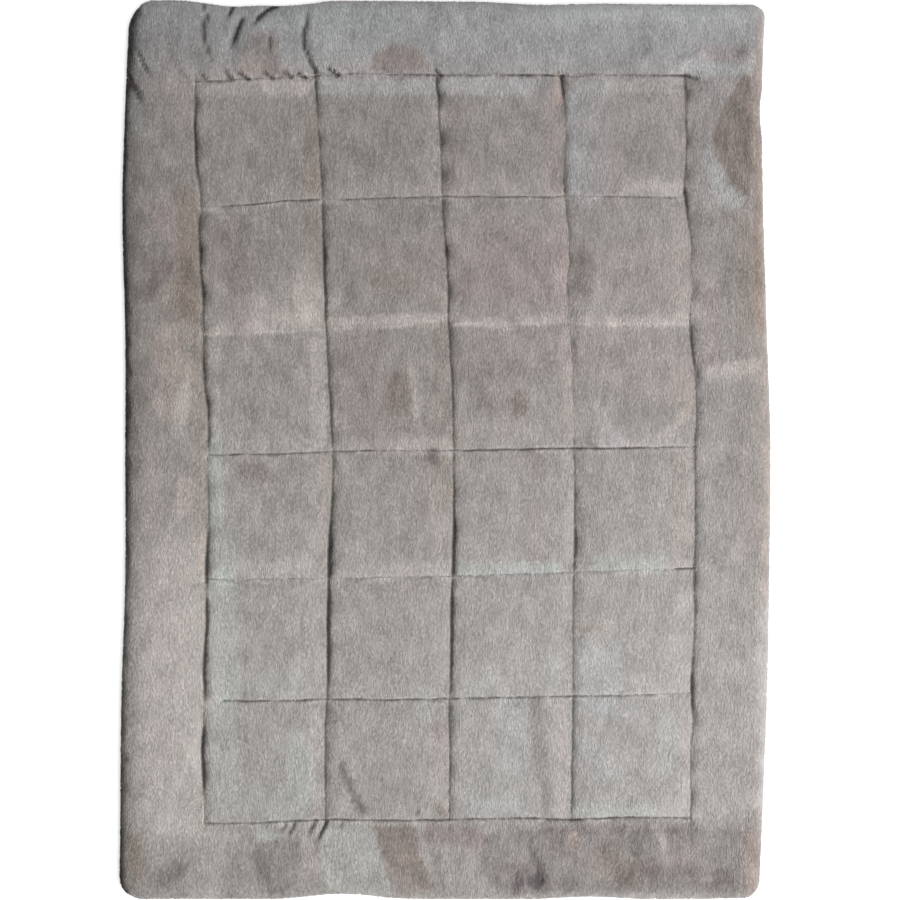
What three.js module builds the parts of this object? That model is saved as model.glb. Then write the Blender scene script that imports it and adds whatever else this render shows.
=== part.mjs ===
// Plush quilted bedspread lying flat, in millimetres, +Z up, +X to its right side, +Y to its head end.
// The origin is on the surface that it lies on, under the middle of its outline.
import * as THREE from 'three';

// Even layout, before the cloth strays from it
const squareSize = 345;
const squaresAcross = 4;
const squaresAlong = 6;
const sideBorder = 210;
const endBorder = 215;
const cornerRadius = { headLeft: 80, headRight: 42, footLeft: 65, footRight: 50 };

// Heights above the surface that it lies on, to the tips of the pile
const squareCrown = 26;
const borderCrown = 29;
const stitchTop = 8.5;
const stitchUnder = 4;
const rimHeight = 11;

// How far each soft slope reaches from its stitch line or from the edge
const squareSlope = 150;
const borderSlope = 125;
const rollOver = 46;
const rollUnder = 26;
const channelUnder = 30;

// How full a slope swells: 1 is a straight slope, more is steep at the stitches and flat on the crown
const swell = 2.7;

// Grid steps across a square and across a border, as distances from the stitch line or from the edge
const squareSteps = [0, 12, 36, 90];
const borderSteps = [0, 3, 10, 22, 42, 80, 125, 170, 197];
const squareStepsUnder = [0, channelUnder];
const borderStepsUnder = [6, rollUnder, 60, 120, 180];

// Further grid lines where the creases need them: from head to foot, and from side to side
const creaseColumns = [-668, -628, -574, -548, -494, -468, -412, -394, -20];
const creaseRows = [1190, 1148, 1102, 1068, -1100];

// How far each crossing lies from its even place, as [to the right, towards the head].
// The lines run across. Each is read at the left edge, its first, middle and last seam, and the right edge.
const strays = [
  { line: 'foot', left: [-19, -13], first: [0, -13], middle: [7, -13], last: [-8, -13], right: [-20, -10] },
  { line: 'seam 7', left: [-16, -9], first: [3, -9], middle: [8, -3], last: [-6, 4], right: [-13, 4] },
  { line: 'seam 6', left: [-13, -14], first: [13, -14], middle: [11, -8], last: [0, 8], right: [-1, 8] },
  { line: 'seam 5', left: [-2, -18], first: [19, -18], middle: [16, -9], last: [6, 12], right: [10, 12] },
  { line: 'seam 4', left: [-2, -15], first: [21, -15], middle: [15, 0], last: [8, 13], right: [13, 13] },
  { line: 'seam 3', left: [-2, -16], first: [8, -16], middle: [8, 11], last: [-6, 14], right: [2, 14] },
  { line: 'seam 2', left: [-10, -14], first: [-5, -11], middle: [-9, 20], last: [-16, 17], right: [-8, 17] },
  { line: 'seam 1', left: [1, 0], first: [-16, -4], middle: [-24, 21], last: [-17, 10], right: [-14, 10] },
  { line: 'head', left: [12, 13], first: [-18, 13], middle: [-26, 10], last: [-18, 1], right: [-7, 0] },
];
const strayPlaces = ['left', 'first', 'middle', 'last', 'right'];

// Where an edge draws in: the place along it, how far the dip spreads and how deep it goes
const edgeDips = [
  { side: 'head', at: -550, spread: 90, depth: 12 },
  { side: 'foot', at: -270, spread: 150, depth: 16 },
  { side: 'foot', at: 330, spread: 110, depth: 5 },
  { side: 'right', at: 930, spread: 90, depth: 6 },
];

// Creases, each a run of [x, y] places. A depth below zero is a ridge, and one place alone is a round dent.
const creases = [
  { name: 'head, bent', run: [[-666, 1222], [-684, 1178], [-672, 1140], [-655, 1098]], width: 34, depth: 9 },
  { name: 'head, short', run: [[-573, 1226], [-600, 1136]], width: 36, depth: 11 },
  { name: 'head, deep', run: [[-480, 1256], [-538, 1182]], width: 36, depth: 15 },
  { name: 'head, faint', run: [[-492, 1172], [-490, 1105]], width: 34, depth: 6 },
  { name: 'head, long', run: [[-380, 1246], [-396, 1150], [-386, 1098], [-358, 1062]], width: 38, depth: 11 },
  { name: 'head, soft dent', run: [[500, 1102], [574, 1160]], width: 54, depth: 5 },
  { name: 'left corner, deep', run: [[-900, 1058], [-846, 962]], width: 34, depth: 15 },
  { name: 'left corner, bent', run: [[-870, 1124], [-835, 1064], [-822, 1036]], width: 34, depth: 6 },
  { name: 'left corner, soft', run: [[-712, 1040], [-776, 1136]], width: 44, depth: 4 },
  { name: 'right corner ridge', run: [[638, 1064], [690, 1094], [738, 1128]], width: 34, depth: -6 },
  { name: 'right corner dent', run: [[800, 1112], [846, 1140]], width: 60, depth: 6 },
  { name: 'foot, bent', run: [[-686, -1052], [-600, -1104], [-522, -1200]], width: 46, depth: 8 },
  { name: 'foot corner dent', run: [[-759, -1173]], width: 90, depth: 8 },
  { name: 'foot, middle', run: [[-40, -1105], [-16, -1228]], width: 38, depth: 7 },
  { name: 'foot, right', run: [[233, -1092], [266, -1186], [270, -1226]], width: 38, depth: 7 },
  { name: 'foot ridge', run: [[560, -1050], [596, -1075], [614, -1128]], width: 34, depth: -5 },
];

const plushColour = 0x9a9491;

const fieldHalfWidth = squareSize * squaresAcross / 2;
const fieldHalfLength = squareSize * squaresAlong / 2;
const halfWidth = fieldHalfWidth + sideBorder;
const halfLength = fieldHalfLength + endBorder;

// Places of the strays' lines from foot to head, and of their readings from left to right
const seams = [...Array(squaresAlong + 1).keys()];
const seamPlaces = seams.map((seam) => seam * squareSize - fieldHalfLength);
const linePlaces = [-halfLength, ...seamPlaces, halfLength];
const readingPlaces = [-halfWidth, -fieldHalfWidth, 0, fieldHalfWidth, halfWidth];
const strayValues = strays.flatMap((row) => strayPlaces.flatMap((place) => row[place]));
const straysAlong = new THREE.CubicInterpolant(linePlaces, strayValues, 2 * strayPlaces.length);

// Stray at any place: a smooth curve along the length, then another across it
function strayAt(x, y) {
  const readings = Float64Array.from(straysAlong.evaluate(y));
  const [right, ahead] = new THREE.CubicInterpolant(readingPlaces, readings, 2).evaluate(x);
  return [right, ahead];
}

// A smooth hump: 1 at its middle and 0 from its reach on
function hump(distance, reach) {
  const share = THREE.MathUtils.clamp(distance / reach, 0, 1);
  return (1 + Math.cos(Math.PI * share)) / 2;
}

// A filled slope: 0 at its stitch line and 1 from its reach on
function filled(distance, reach) {
  return 1 - (1 - THREE.MathUtils.clamp(distance / reach, 0, 1)) ** swell;
}

// A quarter round: 0 at its rim and 1 from its reach on
function quarterRound(distance, reach) {
  const share = 1 - THREE.MathUtils.clamp(distance / reach, 0, 1);
  return Math.sqrt(1 - share * share);
}

function inField(x, y) {
  return Math.abs(x) <= fieldHalfWidth && Math.abs(y) <= fieldHalfLength;
}

// Distance to the nearest stitch line that runs square to the given direction
function toStitchLine(place, fieldHalf) {
  const within = (place + fieldHalf) % squareSize;
  return Math.min(within, squareSize - within);
}

function beyondField(x, y) {
  return Math.hypot(Math.max(Math.abs(x) - fieldHalfWidth, 0), Math.max(Math.abs(y) - fieldHalfLength, 0));
}

function toEdge(x, y) {
  return Math.min(halfWidth - Math.abs(x), halfLength - Math.abs(y));
}

// Rounds the corners of the even layout: square rings about a corner's centre become round rings
function roundCorner(x, y) {
  const radius = cornerRadius[(y > 0 ? 'head' : 'foot') + (x > 0 ? 'Right' : 'Left')];
  const centreX = halfWidth - radius;
  const centreY = halfLength - radius;
  const outX = Math.abs(x) - centreX;
  const outY = Math.abs(y) - centreY;
  if (outX <= 0 || outY <= 0) {
    return [x, y];
  }
  const pull = Math.max(outX, outY) / Math.hypot(outX, outY);
  return [Math.sign(x) * (centreX + outX * pull), Math.sign(y) * (centreY + outY * pull)];
}

// How far the dips of the edges draw a place inwards, fading out over the border
function drawnIn(x, y) {
  const drawn = [0, 0];
  for (const { side, at, spread, depth } of edgeDips) {
    const alongEdge = side === 'right' ? y : x;
    const inwards = { head: halfLength - y, foot: halfLength + y, right: halfWidth - x }[side];
    const pull = depth * hump(Math.abs(alongEdge - at), spread) * hump(inwards, sideBorder);
    drawn[side === 'right' ? 0 : 1] += side === 'foot' ? pull : -pull;
  }
  return drawn;
}

// Where a place of the even layout lies on the real cloth, seen from above
function plan(x, y) {
  const moves = [roundCorner(x, y), strayAt(x, y), drawnIn(x, y)];
  return [0, 1].map((direction) => moves.reduce((sum, move) => sum + move[direction], 0));
}

function toRun(x, y, run) {
  const place = new THREE.Vector3(x, y, 0);
  const corners = run.map(([cornerX, cornerY]) => new THREE.Vector3(cornerX, cornerY, 0));
  const nearest = corners[0].clone();
  let distance = nearest.distanceTo(place);
  for (let i = 1; i < corners.length; i++) {
    new THREE.Line3(corners[i - 1], corners[i]).closestPointToPoint(place, true, nearest);
    distance = Math.min(distance, nearest.distanceTo(place));
  }
  return distance;
}

function creased(x, y) {
  return creases.reduce((sum, { run, width, depth }) => sum + depth * hump(toRun(x, y, run), width), 0);
}

function topHeight(x, y) {
  let crown = borderCrown;
  let fill = filled(beyondField(x, y), borderSlope);
  if (inField(x, y)) {
    crown = squareCrown;
    fill = filled(toStitchLine(x, fieldHalfWidth), squareSlope)
      * filled(toStitchLine(y, fieldHalfLength), squareSlope);
  }
  const smooth = stitchTop + (crown - stitchTop) * fill;
  const height = Math.max(smooth - creased(...plan(x, y)), stitchTop);
  return rimHeight + (height - rimHeight) * quarterRound(toEdge(x, y), rollOver);
}

function underHeight(x, y) {
  const toStitches = inField(x, y)
    ? Math.min(toStitchLine(x, fieldHalfWidth), toStitchLine(y, fieldHalfLength))
    : beyondField(x, y);
  const channel = stitchUnder * hump(toStitches, channelUnder);
  return channel + rimHeight * (1 - quarterRound(toEdge(x, y), rollUnder));
}

// Grid lines along one direction: border steps, then each square's steps and its middle, then border steps
function gridLines(half, squares, inSquare, inBorder) {
  const start = -squares * squareSize / 2;
  const lines = inBorder.map((step) => step - half);
  for (let square = 0; square < squares; square++) {
    const near = start + square * squareSize;
    const far = near + squareSize;
    lines.push(...inSquare.map((step) => near + step), (near + far) / 2);
    lines.push(...inSquare.slice(1).reverse().map((step) => far - step));
  }
  lines.push(-start, ...inBorder.toReversed().map((step) => half - step));
  return lines;
}

const positions = [];
const triangles = [];

// One face as a grid of points. It returns the loop round its edge, with each point's way round from 0 to 4.
function addFace(columns, rows, height, facesUp) {
  const first = positions.length / 3;
  const at = (row, column) => first + row * columns.length + column;
  for (const y of rows) {
    for (const x of columns) {
      positions.push(...plan(x, y), height(x, y));
    }
  }
  const addTriangle = (a, b, c) => triangles.push(...(facesUp ? [a, b, c] : [a, c, b]));
  for (let r = 1; r < rows.length; r++) {
    for (let c = 1; c < columns.length; c++) {
      const [a, b, d, e] = [at(r - 1, c - 1), at(r - 1, c), at(r, c), at(r, c - 1)];
      const towardsCorner = (columns[c] + columns[c - 1]) * (rows[r] + rows[r - 1]) > 0;
      if (towardsCorner) {
        addTriangle(a, b, d);
        addTriangle(a, d, e);
      } else {
        addTriangle(a, b, e);
        addTriangle(b, d, e);
      }
    }
  }
  const top = rows.length - 1;
  const right = columns.length - 1;
  const across = (c) => (columns[c] - columns[0]) / (columns[right] - columns[0]);
  const along = (r) => (rows[r] - rows[0]) / (rows[top] - rows[0]);
  return [
    ...columns.slice(1).map((_, c) => ({ vertex: at(0, c), way: across(c) })),
    ...rows.slice(1).map((_, r) => ({ vertex: at(r, right), way: 1 + along(r) })),
    ...columns.slice(1).map((_, c) => ({ vertex: at(top, right - c), way: 3 - across(right - c) })),
    ...rows.slice(1).map((_, r) => ({ vertex: at(top - r, 0), way: 4 - along(top - r) })),
  ];
}

// The strip of triangles between the rim and the face under it, walking both loops side by side
function joinLoops(rim, under) {
  const vertexOf = (loop, i) => loop[i % loop.length].vertex;
  const wayOf = (loop, i) => (i < loop.length ? loop[i].way : 4);
  let r = 0;
  let u = 0;
  while (r < rim.length || u < under.length) {
    const onRim = u === under.length || (r < rim.length && wayOf(rim, r + 1) <= wayOf(under, u + 1));
    const corner = onRim ? vertexOf(rim, r + 1) : vertexOf(under, u + 1);
    triangles.push(vertexOf(rim, r), vertexOf(under, u), corner);
    r += onRim ? 1 : 0;
    u += onRim ? 0 : 1;
  }
}

const topColumns = gridLines(halfWidth, squaresAcross, squareSteps, borderSteps);
const topRows = gridLines(halfLength, squaresAlong, squareSteps, borderSteps);
const underColumns = gridLines(halfWidth, squaresAcross, squareStepsUnder, borderStepsUnder);
const underRows = gridLines(halfLength, squaresAlong, squareStepsUnder, borderStepsUnder);
topColumns.push(...creaseColumns);
topColumns.sort((a, b) => a - b);
topRows.push(...creaseRows);
topRows.sort((a, b) => a - b);
const rim = addFace(topColumns, topRows, topHeight, true);
const underRim = addFace(underColumns, underRows, underHeight, false);
joinLoops(rim, underRim);

// The middle of the outline comes over the origin
const geometry = new THREE.BufferGeometry();
geometry.setAttribute('position', new THREE.Float32BufferAttribute(positions, 3));
geometry.setIndex(triangles);
geometry.computeBoundingBox();
const middle = geometry.boundingBox.getCenter(new THREE.Vector3());
geometry.translate(-middle.x, -middle.y, -geometry.boundingBox.min.z);
geometry.computeVertexNormals();

const plush = new THREE.MeshStandardMaterial({ color: plushColour, roughness: 0.95, metalness: 0 });
const quilt = new THREE.Mesh(geometry, plush);
quilt.name = 'quilt';

const bedspread = new THREE.Group();
bedspread.add(quilt);

export default bedspread;
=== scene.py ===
# Plush quilted bedspread lying flat, seen from above
import bpy
import math
import numpy as np
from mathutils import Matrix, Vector


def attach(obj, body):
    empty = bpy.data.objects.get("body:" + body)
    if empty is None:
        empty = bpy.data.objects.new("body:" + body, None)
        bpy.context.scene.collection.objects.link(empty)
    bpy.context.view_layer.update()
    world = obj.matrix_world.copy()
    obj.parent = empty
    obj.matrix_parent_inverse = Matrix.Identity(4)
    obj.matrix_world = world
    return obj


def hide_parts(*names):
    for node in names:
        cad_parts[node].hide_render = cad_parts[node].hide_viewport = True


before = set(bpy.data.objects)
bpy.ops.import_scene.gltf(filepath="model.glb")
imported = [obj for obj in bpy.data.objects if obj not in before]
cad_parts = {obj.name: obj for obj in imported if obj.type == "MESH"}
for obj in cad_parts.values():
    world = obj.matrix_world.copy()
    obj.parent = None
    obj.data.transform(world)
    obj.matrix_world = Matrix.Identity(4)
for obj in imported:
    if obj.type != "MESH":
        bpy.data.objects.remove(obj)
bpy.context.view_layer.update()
bpy.ops.object.select_all(action='DESELECT')
print("frame loaded")

# The layout is worked out in millimetres, and turned into metres where a mesh is made
mm = 0.001
tiny = 1e-6  # keeps a divisor over zero

# The even layout, before the cloth strays from it
layout = {
    'squareSize': 345,
    'squaresAcross': 4,
    'squaresAlong': 6,
    'sideBorder': 210,
    'endBorder': 215,
    'cornerRadius': {'headLeft': 80, 'headRight': 42, 'footLeft': 65, 'footRight': 50},
}

square = layout['squareSize']
fieldHalfWidth = square * layout['squaresAcross'] / 2
fieldHalfLength = square * layout['squaresAlong'] / 2
halfWidth = fieldHalfWidth + layout['sideBorder']
halfLength = fieldHalfLength + layout['endBorder']

# How far each crossing lies from its even place, as (to the right, towards the head).
# The lines run across. Each is read at the left edge, its first, middle and last seam, and the right edge.
strays = [
    # line       left        first       middle      last        right
    ('foot',   (-19, -13), (0, -13),   (7, -13),   (-8, -13),  (-20, -10)),
    ('seam 7', (-16, -9),  (3, -9),    (8, -3),    (-6, 4),    (-10, 4)),
    ('seam 6', (-13, -14), (13, -14),  (11, -8),   (0, 8),     (4, 8)),
    ('seam 5', (-2, -18),  (19, -18),  (16, -9),   (6, 12),    (10, 12)),
    ('seam 4', (-2, -15),  (21, -15),  (15, 0),    (8, 13),    (13, 13)),
    ('seam 3', (-2, -16),  (8, -16),   (8, 11),    (-6, 14),   (2, 14)),
    ('seam 2', (-10, -14), (-5, -11),  (-9, 20),   (-16, 17),  (-8, 17)),
    ('seam 1', (1, 0),     (-16, -4),  (-24, 21),  (-17, 10),  (-10, 10)),
    ('head',   (12, 13),   (-18, 13),  (-26, 10),  (-18, 1),   (-1, 0)),
]
seamPlaces = [seam * square - fieldHalfLength for seam in range(layout['squaresAlong'] + 1)]
linePlaces = np.array([-halfLength, *seamPlaces, halfLength])
readingPlaces = np.array([-halfWidth, -fieldHalfWidth, 0, fieldHalfWidth, halfWidth])

# How far each seam sways sideways from an even line between its crossings, as (place along it, how far).
# The seams along are counted from the left, and those across from the foot. A scratch program traced
# them in the photograph, and they were thinned and rounded by hand.
swayAlong = [
    [(-980, 9), (-830, -3), (-700, 0), (-580, -4), (-490, 1), (-310, -2), (-200, 3), (-20, 1), (90, 6),
     (250, -2), (380, 4), (450, 5), (560, 0), (650, 2), (715, 8), (790, 1), (890, -1), (1025, 3)],
    [(-1000, -4), (-810, -10), (-590, -6), (-450, -8), (-230, -5), (-120, 2), (-50, 3), (290, -2), (800, 3),
     (950, 3), (1010, 1)],
    [(-1000, 0), (-860, 1), (-700, -3), (-640, 0), (-390, 0), (-300, 3), (190, 3), (300, -1), (480, 1),
     (680, -3), (770, 0), (1000, -2)],
    [(-1000, 3), (-620, 5), (-510, 2), (-360, 2), (-280, 5), (-170, 3), (-60, 4), (0, 1), (80, 5), (160, 0),
     (240, 4), (360, -2), (430, -2), (520, 7), (610, 7), (670, 1), (760, 0), (870, 8), (1010, 0)],
    [(-1010, 2), (-830, -1), (-760, 2), (-670, -3), (-470, 3), (-380, -1), (-270, 1), (20, 0), (90, 7),
     (200, 6), (330, -2), (400, 3), (440, 12), (490, 7), (560, 10), (670, -3), (710, -6), (810, 0), (850, 0),
     (1010, -4)],
]
swayAcross = [
    [(-670, -3), (-540, -2), (-340, 5), (-130, 1), (240, 3), (340, -2), (515, 3), (650, 0)],
    [(-670, 1), (-510, -1), (-310, 3), (-210, 0), (130, 1), (580, -2), (650, 0)],
    [(-670, 0), (660, 0)],
    [(-670, 0), (-500, 0), (-330, 3), (-130, 1), (40, -3), (310, -3), (480, -6), (650, -5)],
    [(-670, 0), (660, 0)],
    [(-670, 0), (-600, 0), (-430, 7), (-260, 2), (180, -3), (280, -3), (380, 0), (650, 0)],
    [(-675, 0), (-500, 3), (-365, 2), (-260, 5), (-130, -2), (105, -7), (205, -5), (370, -4), (505, 2),
     (675, 3)],
]

# Where an edge draws in: the place along it, how far the dip spreads and how deep it goes
edgeDips = [
    ('head', -560, 190, 17),
    ('head', -400, 130, 12),
    ('head', 290, 190, 6),
    ('foot', -300, 200, 14),
    ('foot', 400, 180, 7),
    ('right', 930, 90, 6),
]


def hump(distance, reach):  # 1 at its middle, 0 from its reach on
    return (1 + np.cos(np.pi * np.clip(distance / reach, 0, 1))) / 2


def filled(distance, reach, swell):  # 0 at a stitch line, 1 from its reach on
    return 1 - (1 - np.clip(distance / reach, 0, 1)) ** swell


def quarterRound(distance, reach):  # 0 at a rim, 1 from its reach on
    share = 1 - np.clip(distance / reach, 0, 1)
    return np.sqrt(1 - share * share)


def step(value, low, high):  # a soft step from 0 to 1
    share = np.clip((value - low) / (high - low), 0, 1)
    return share * share * (3 - 2 * share)


def smoothCurve(places, readings, at):
    # at each place the slope is the mean of the two chords that meet there
    chords = np.diff(readings, axis=0) / np.diff(places)[:, None]
    slopes = np.concatenate([chords[:1], (chords[1:] + chords[:-1]) / 2, chords[-1:]])
    i = np.clip(np.searchsorted(places, at) - 1, 0, len(places) - 2)
    span = places[i + 1] - places[i]
    share = (at - places[i]) / span
    span, share = span[:, None], share[:, None]
    ease = share * share * (3 - 2 * share)
    start = readings[i] * (1 - ease) + readings[i + 1] * ease
    return start + span * share * (1 - share) * (slopes[i] * (1 - share) - slopes[i + 1] * share)


def softNoise(x, y, size, seed, waves=14):
    # long and short waves in every direction, so that it never repeats over the cloth
    dice = np.random.default_rng(seed)
    total = np.zeros_like(x, dtype=float)
    for _ in range(waves):
        angle, start = dice.uniform(0, 2 * np.pi, 2)
        length = size * dice.uniform(0.7, 1.9)
        total += np.sin((x * np.cos(angle) + y * np.sin(angle)) * 2 * np.pi / length + start)
    return total / math.sqrt(waves / 2)


def toStitchLine(place, fieldHalf):
    within = (place + fieldHalf) % square
    return np.minimum(within, square - within)


def beyondField(x, y):
    return np.hypot(np.maximum(abs(x) - fieldHalfWidth, 0), np.maximum(abs(y) - fieldHalfLength, 0))


def toEdge(x, y):
    return np.minimum(halfWidth - abs(x), halfLength - abs(y))


def roundedCorners(x, y):
    # square rings about a corner's centre become round rings
    radii = layout['cornerRadius']
    radius = np.where(
        y > 0,
        np.where(x > 0, radii['headRight'], radii['headLeft']),
        np.where(x > 0, radii['footRight'], radii['footLeft']),
    )
    centreX, centreY = halfWidth - radius, halfLength - radius
    outX, outY = abs(x) - centreX, abs(y) - centreY
    inCorner = (outX > 0) & (outY > 0)
    outX, outY = np.where(inCorner, outX, 1), np.where(inCorner, outY, 1)
    pull = np.maximum(outX, outY) / np.hypot(outX, outY)
    roundX = np.where(inCorner, np.sign(x) * (centreX + outX * pull), x)
    roundY = np.where(inCorner, np.sign(y) * (centreY + outY * pull), y)
    return roundX, roundY


def swayOf(seams, away, along, half, otherHalf):
    # each seam takes the cloth beside it along, and ends straight
    total = np.zeros_like(away, dtype=float)
    reach = quilt['swayReach']
    for number, readings in enumerate(seams):
        near = hump(abs(away - number * square + half), reach) * hump(abs(along) - otherHalf, reach)
        places, sideways = np.array(readings, dtype=float).T
        at = np.clip(along, places[0], places[-1]).ravel()
        total += near * smoothCurve(places, sideways[:, None], at)[:, 0].reshape(along.shape)
    return total


def planOf(columns, rows):
    # where each place of the even layout lies on the real cloth, seen from above
    x, y = np.meshgrid(columns, rows)
    columns, rows = np.array(columns, dtype=float), np.array(rows, dtype=float)
    readings = np.array([line[1:] for line in strays], dtype=float)
    alongRows = smoothCurve(linePlaces, readings.reshape(len(strays), -1), rows)
    alongRows = alongRows.reshape(len(rows), len(readingPlaces), 2).transpose(1, 0, 2)
    stray = smoothCurve(readingPlaces, alongRows.reshape(len(readingPlaces), -1), columns)
    stray = stray.reshape(len(columns), len(rows), 2).transpose(1, 0, 2)
    planX, planY = roundedCorners(x, y)
    planX, planY = planX + stray[:, :, 0], planY + stray[:, :, 1]
    planX = planX + swayOf(swayAlong, x, y, fieldHalfWidth, fieldHalfLength)
    planY = planY + swayOf(swayAcross, y, x, fieldHalfLength, fieldHalfWidth)
    wander, length, reach = quilt['wander']
    sway = wander * softNoise(x, y, length, seed=8)
    planX = planX + sway * hump(toStitchLine(x, fieldHalfWidth), reach)
    planY = planY + sway * hump(toStitchLine(y, fieldHalfLength), reach)
    inwards = {'head': halfLength - y, 'foot': halfLength + y, 'right': halfWidth - x}
    for side, at, spread, depth in edgeDips:
        along = y if side == 'right' else x
        pull = depth * hump(abs(along - at), spread) * hump(inwards[side], layout['sideBorder'])
        if side == 'right':
            planX = planX - pull
        else:
            planY = planY + (pull if side == 'foot' else -pull)
    return planX, planY


def toRun(x, y, run):
    # distance to a bent run of places, and how far along it the nearest place lies, from 0 to 1
    corners = np.array(run, dtype=float)
    if len(corners) == 1:
        return np.hypot(x - corners[0, 0], y - corners[0, 1]), np.full_like(x, 0.5)
    lengths = np.hypot(*np.diff(corners, axis=0).T)
    before = np.concatenate([[0], np.cumsum(lengths)])
    nearest, along = np.full_like(x, np.inf), np.zeros_like(x)
    for start, end, length, sofar in zip(corners, corners[1:], lengths, before):
        way = (end - start) / length
        t = np.clip((x - start[0]) * way[0] + (y - start[1]) * way[1], 0, length)
        distance = np.hypot(x - start[0] - way[0] * t, y - start[1] - way[1] * t)
        closer = distance < nearest
        nearest = np.where(closer, distance, nearest)
        along = np.where(closer, (sofar + t) / before[-1], along)
    return nearest, along


def withinReach(x, y, corners, reach):
    # which places lie in the box round a run or an outline, widened by its reach
    low, high = np.min(corners, axis=0) - reach, np.max(corners, axis=0) + reach
    return (x > low[0]) & (x < high[0]) & (y > low[1]) & (y < high[1])


# Heights over the surface that it lies on, the reach of each slope and the steps of the mesh, in millimetres
quilt = {
    'squareCrown': 26,
    'borderCrown': 29,
    'stitchTop': 8.5,
    'stitchUnder': 3,
    'rimHeight': 11,
    'squareSlope': 120,
    'borderSlope': 115,
    'swell': 2.6,
    'lip': 10,  # the cloth rises steeply over this width beside each stitch line
    'lipShare': 0.5,
    'lipLean': 0.16,  # steeper on the right of a seam along the quilt, gentler on its left
    'swayReach': 110,  # how far beside a seam the cloth follows its sway
    'wander': (0.55, 75, 40),  # a finer sway: how far, over what length, and its reach
    'gapeDepth': 4,
    'gapeReach': (2.6, 9),  # and how much further where a seam is wide open
    'unevenGape': (0.14, 24),  # how much, and over what length
    'gapeAlongCounts': 0.65,  # the pile closes over the seams along as if they gaped only so much
    # a seam's gape, and the share of the crown that the pile keeps over it
    'closedOver': [(0, 0.94), (0.1, 0.75), (0.25, 0.5), (0.6, 0.22), (1, 0)],
    'deepest': 3.5,  # how far under its stitch lines a crease or a gape can take the pile's tips
    'rollOver': 46,
    'rollUnder': 26,
    'channelUnder': 30,
    'pileDepth': 4.2,  # the cloth lies this far under the tips of its pile
    'pressedPile': 0.8,  # and this far on the underside
    'floorGap': 0.2,
    'unevenness': (0.7, 110),  # how high, and over what length
    'dimples': (0.35, 42),
    'nearSeam': [0, 1.3, 3, 5.5, 8.5, 12, 17, 24, 33, 43, 54, 66],
    'nearEdge': [0, 1, 2.6, 4.8, 7.6, 11, 15, 20, 26, 33, 41],
    'columnSteps': [5.5, 12, 12, 12.5],
    'rowSteps': [13] * layout['squaresAlong'],
    'borderStep': 7.6,
    'underNearSeam': [0, 8, 30],
    'underNearEdge': [5, 9, 14, 20, 28],
    'underStep': 22,
}

# How far each seam gapes, as (place along it, how far): 0 is closed over by the pile, 0.2 a thin line and
# 1 wide open. The seams along are counted from the left, and those across from the foot. Partly read by a
# scratch program from how dark the seams are in the photograph, partly by eye, and rounded by hand.
gapeAlong = [
    [(-1025, 0.05), (-955, 0.05), (-910, 0.7), (-830, 0.95), (-780, 0.65), (-755, 0.1), (-690, 0.05),
     (-670, 0.3), (-605, 0.7), (-475, 0.5), (-410, 0.45), (-390, 0.1), (-360, 0.1), (-345, 0.5),
     (-295, 0.75), (-240, 0.25), (-205, 0.1), (0, 0.1), (30, 0.2), (155, 0.25), (300, 0.15), (330, 0.05),
     (355, 0.1), (440, 0.25), (640, 0.2), (680, 0.05), (750, 0.1), (790, 0.2), (830, 0.4), (905, 0.5),
     (945, 0.25), (980, 0.1), (1035, 0.1)],
    [(-1020, 0.1), (-665, 0.2), (-625, 0.4), (-555, 0.7), (-440, 0.9), (-385, 0.7), (-345, 0.2), (-335, 0.5),
     (-305, 1), (-220, 0.7), (-175, 0.3), (0, 0.1), (35, 0.25), (130, 0.25), (160, 0.15), (350, 0.2),
     (455, 0.5), (595, 0.25), (635, 0.1), (955, 0.1), (980, 0.3), (1035, 0.3)],
    [(-1025, 0.1), (-870, 0.15), (-670, 0.15), (-585, 0.5), (-460, 0.6), (-420, 0.5), (-350, 0.2),
     (-325, 0.45), (-225, 0.5), (-180, 0.35), (-55, 0.15), (310, 0.15), (350, 0.2), (535, 0.25), (575, 0.15),
     (700, 0.1), (970, 0.15), (990, 0.3), (1035, 0.35)],
    [(-1015, 0.1), (-930, 0.2), (-885, 0.15), (-345, 0.1), (-300, 0.3), (-245, 0.3), (-215, 0.15), (-5, 0.1),
     (20, 0.05), (955, 0.05), (980, 0.4), (1035, 0.35)],
    [(-1030, 0.05), (-750, 0.05), (-725, 0.25), (-690, 0.45), (-640, 0.25), (-590, 0.15), (-560, 0.1),
     (-365, 0.15), (15, 0.1), (195, 0.05), (225, 0.15), (285, 0.3), (330, 0.15), (360, 0.05), (625, 0.05),
     (655, 0.25), (705, 0.5), (725, 0.1), (955, 0.15), (1035, 0.2)],
]
gapeAcross = [
    [(-690, 0.13), (-340, 0.15), (5, 0.15), (145, 0.12), (315, 0.18), (430, 0.16), (690, 0.12)],
    [(-690, 0), (-650, 0), (-635, 0.2), (-465, 0.13), (-420, 0.17), (0, 0.17), (225, 0.15), (315, 0.13),
     (330, 0.17), (585, 0.1), (690, 0.06)],
    [(-690, 0.1), (-665, 0.12), (-650, 0.08), (305, 0.1), (625, 0.07), (640, 0.19), (685, 0.2)],
    [(-690, 0.14), (-625, 0.16), (-200, 0.15), (-175, 0.1), (-10, 0.12), (10, 0.2), (535, 0.2), (575, 0.15),
     (675, 0.1)],
    [(-690, 0), (685, 0)],
    [(-690, 0), (-645, 0), (-620, 0.15), (-360, 0.17), (-330, 0.05), (-295, 0.08), (-275, 0.14), (330, 0.14),
     (350, 0.08), (465, 0.11), (555, 0.14), (690, 0.08)],
    [(-690, 0.13), (-315, 0.08), (-275, 0.11), (-105, 0.11), (-5, 0.2), (20, 0.13), (175, 0.09), (230, 0.2),
     (340, 0.2), (365, 0.1), (480, 0.09), (565, 0.11), (675, 0.2)],
]

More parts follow.
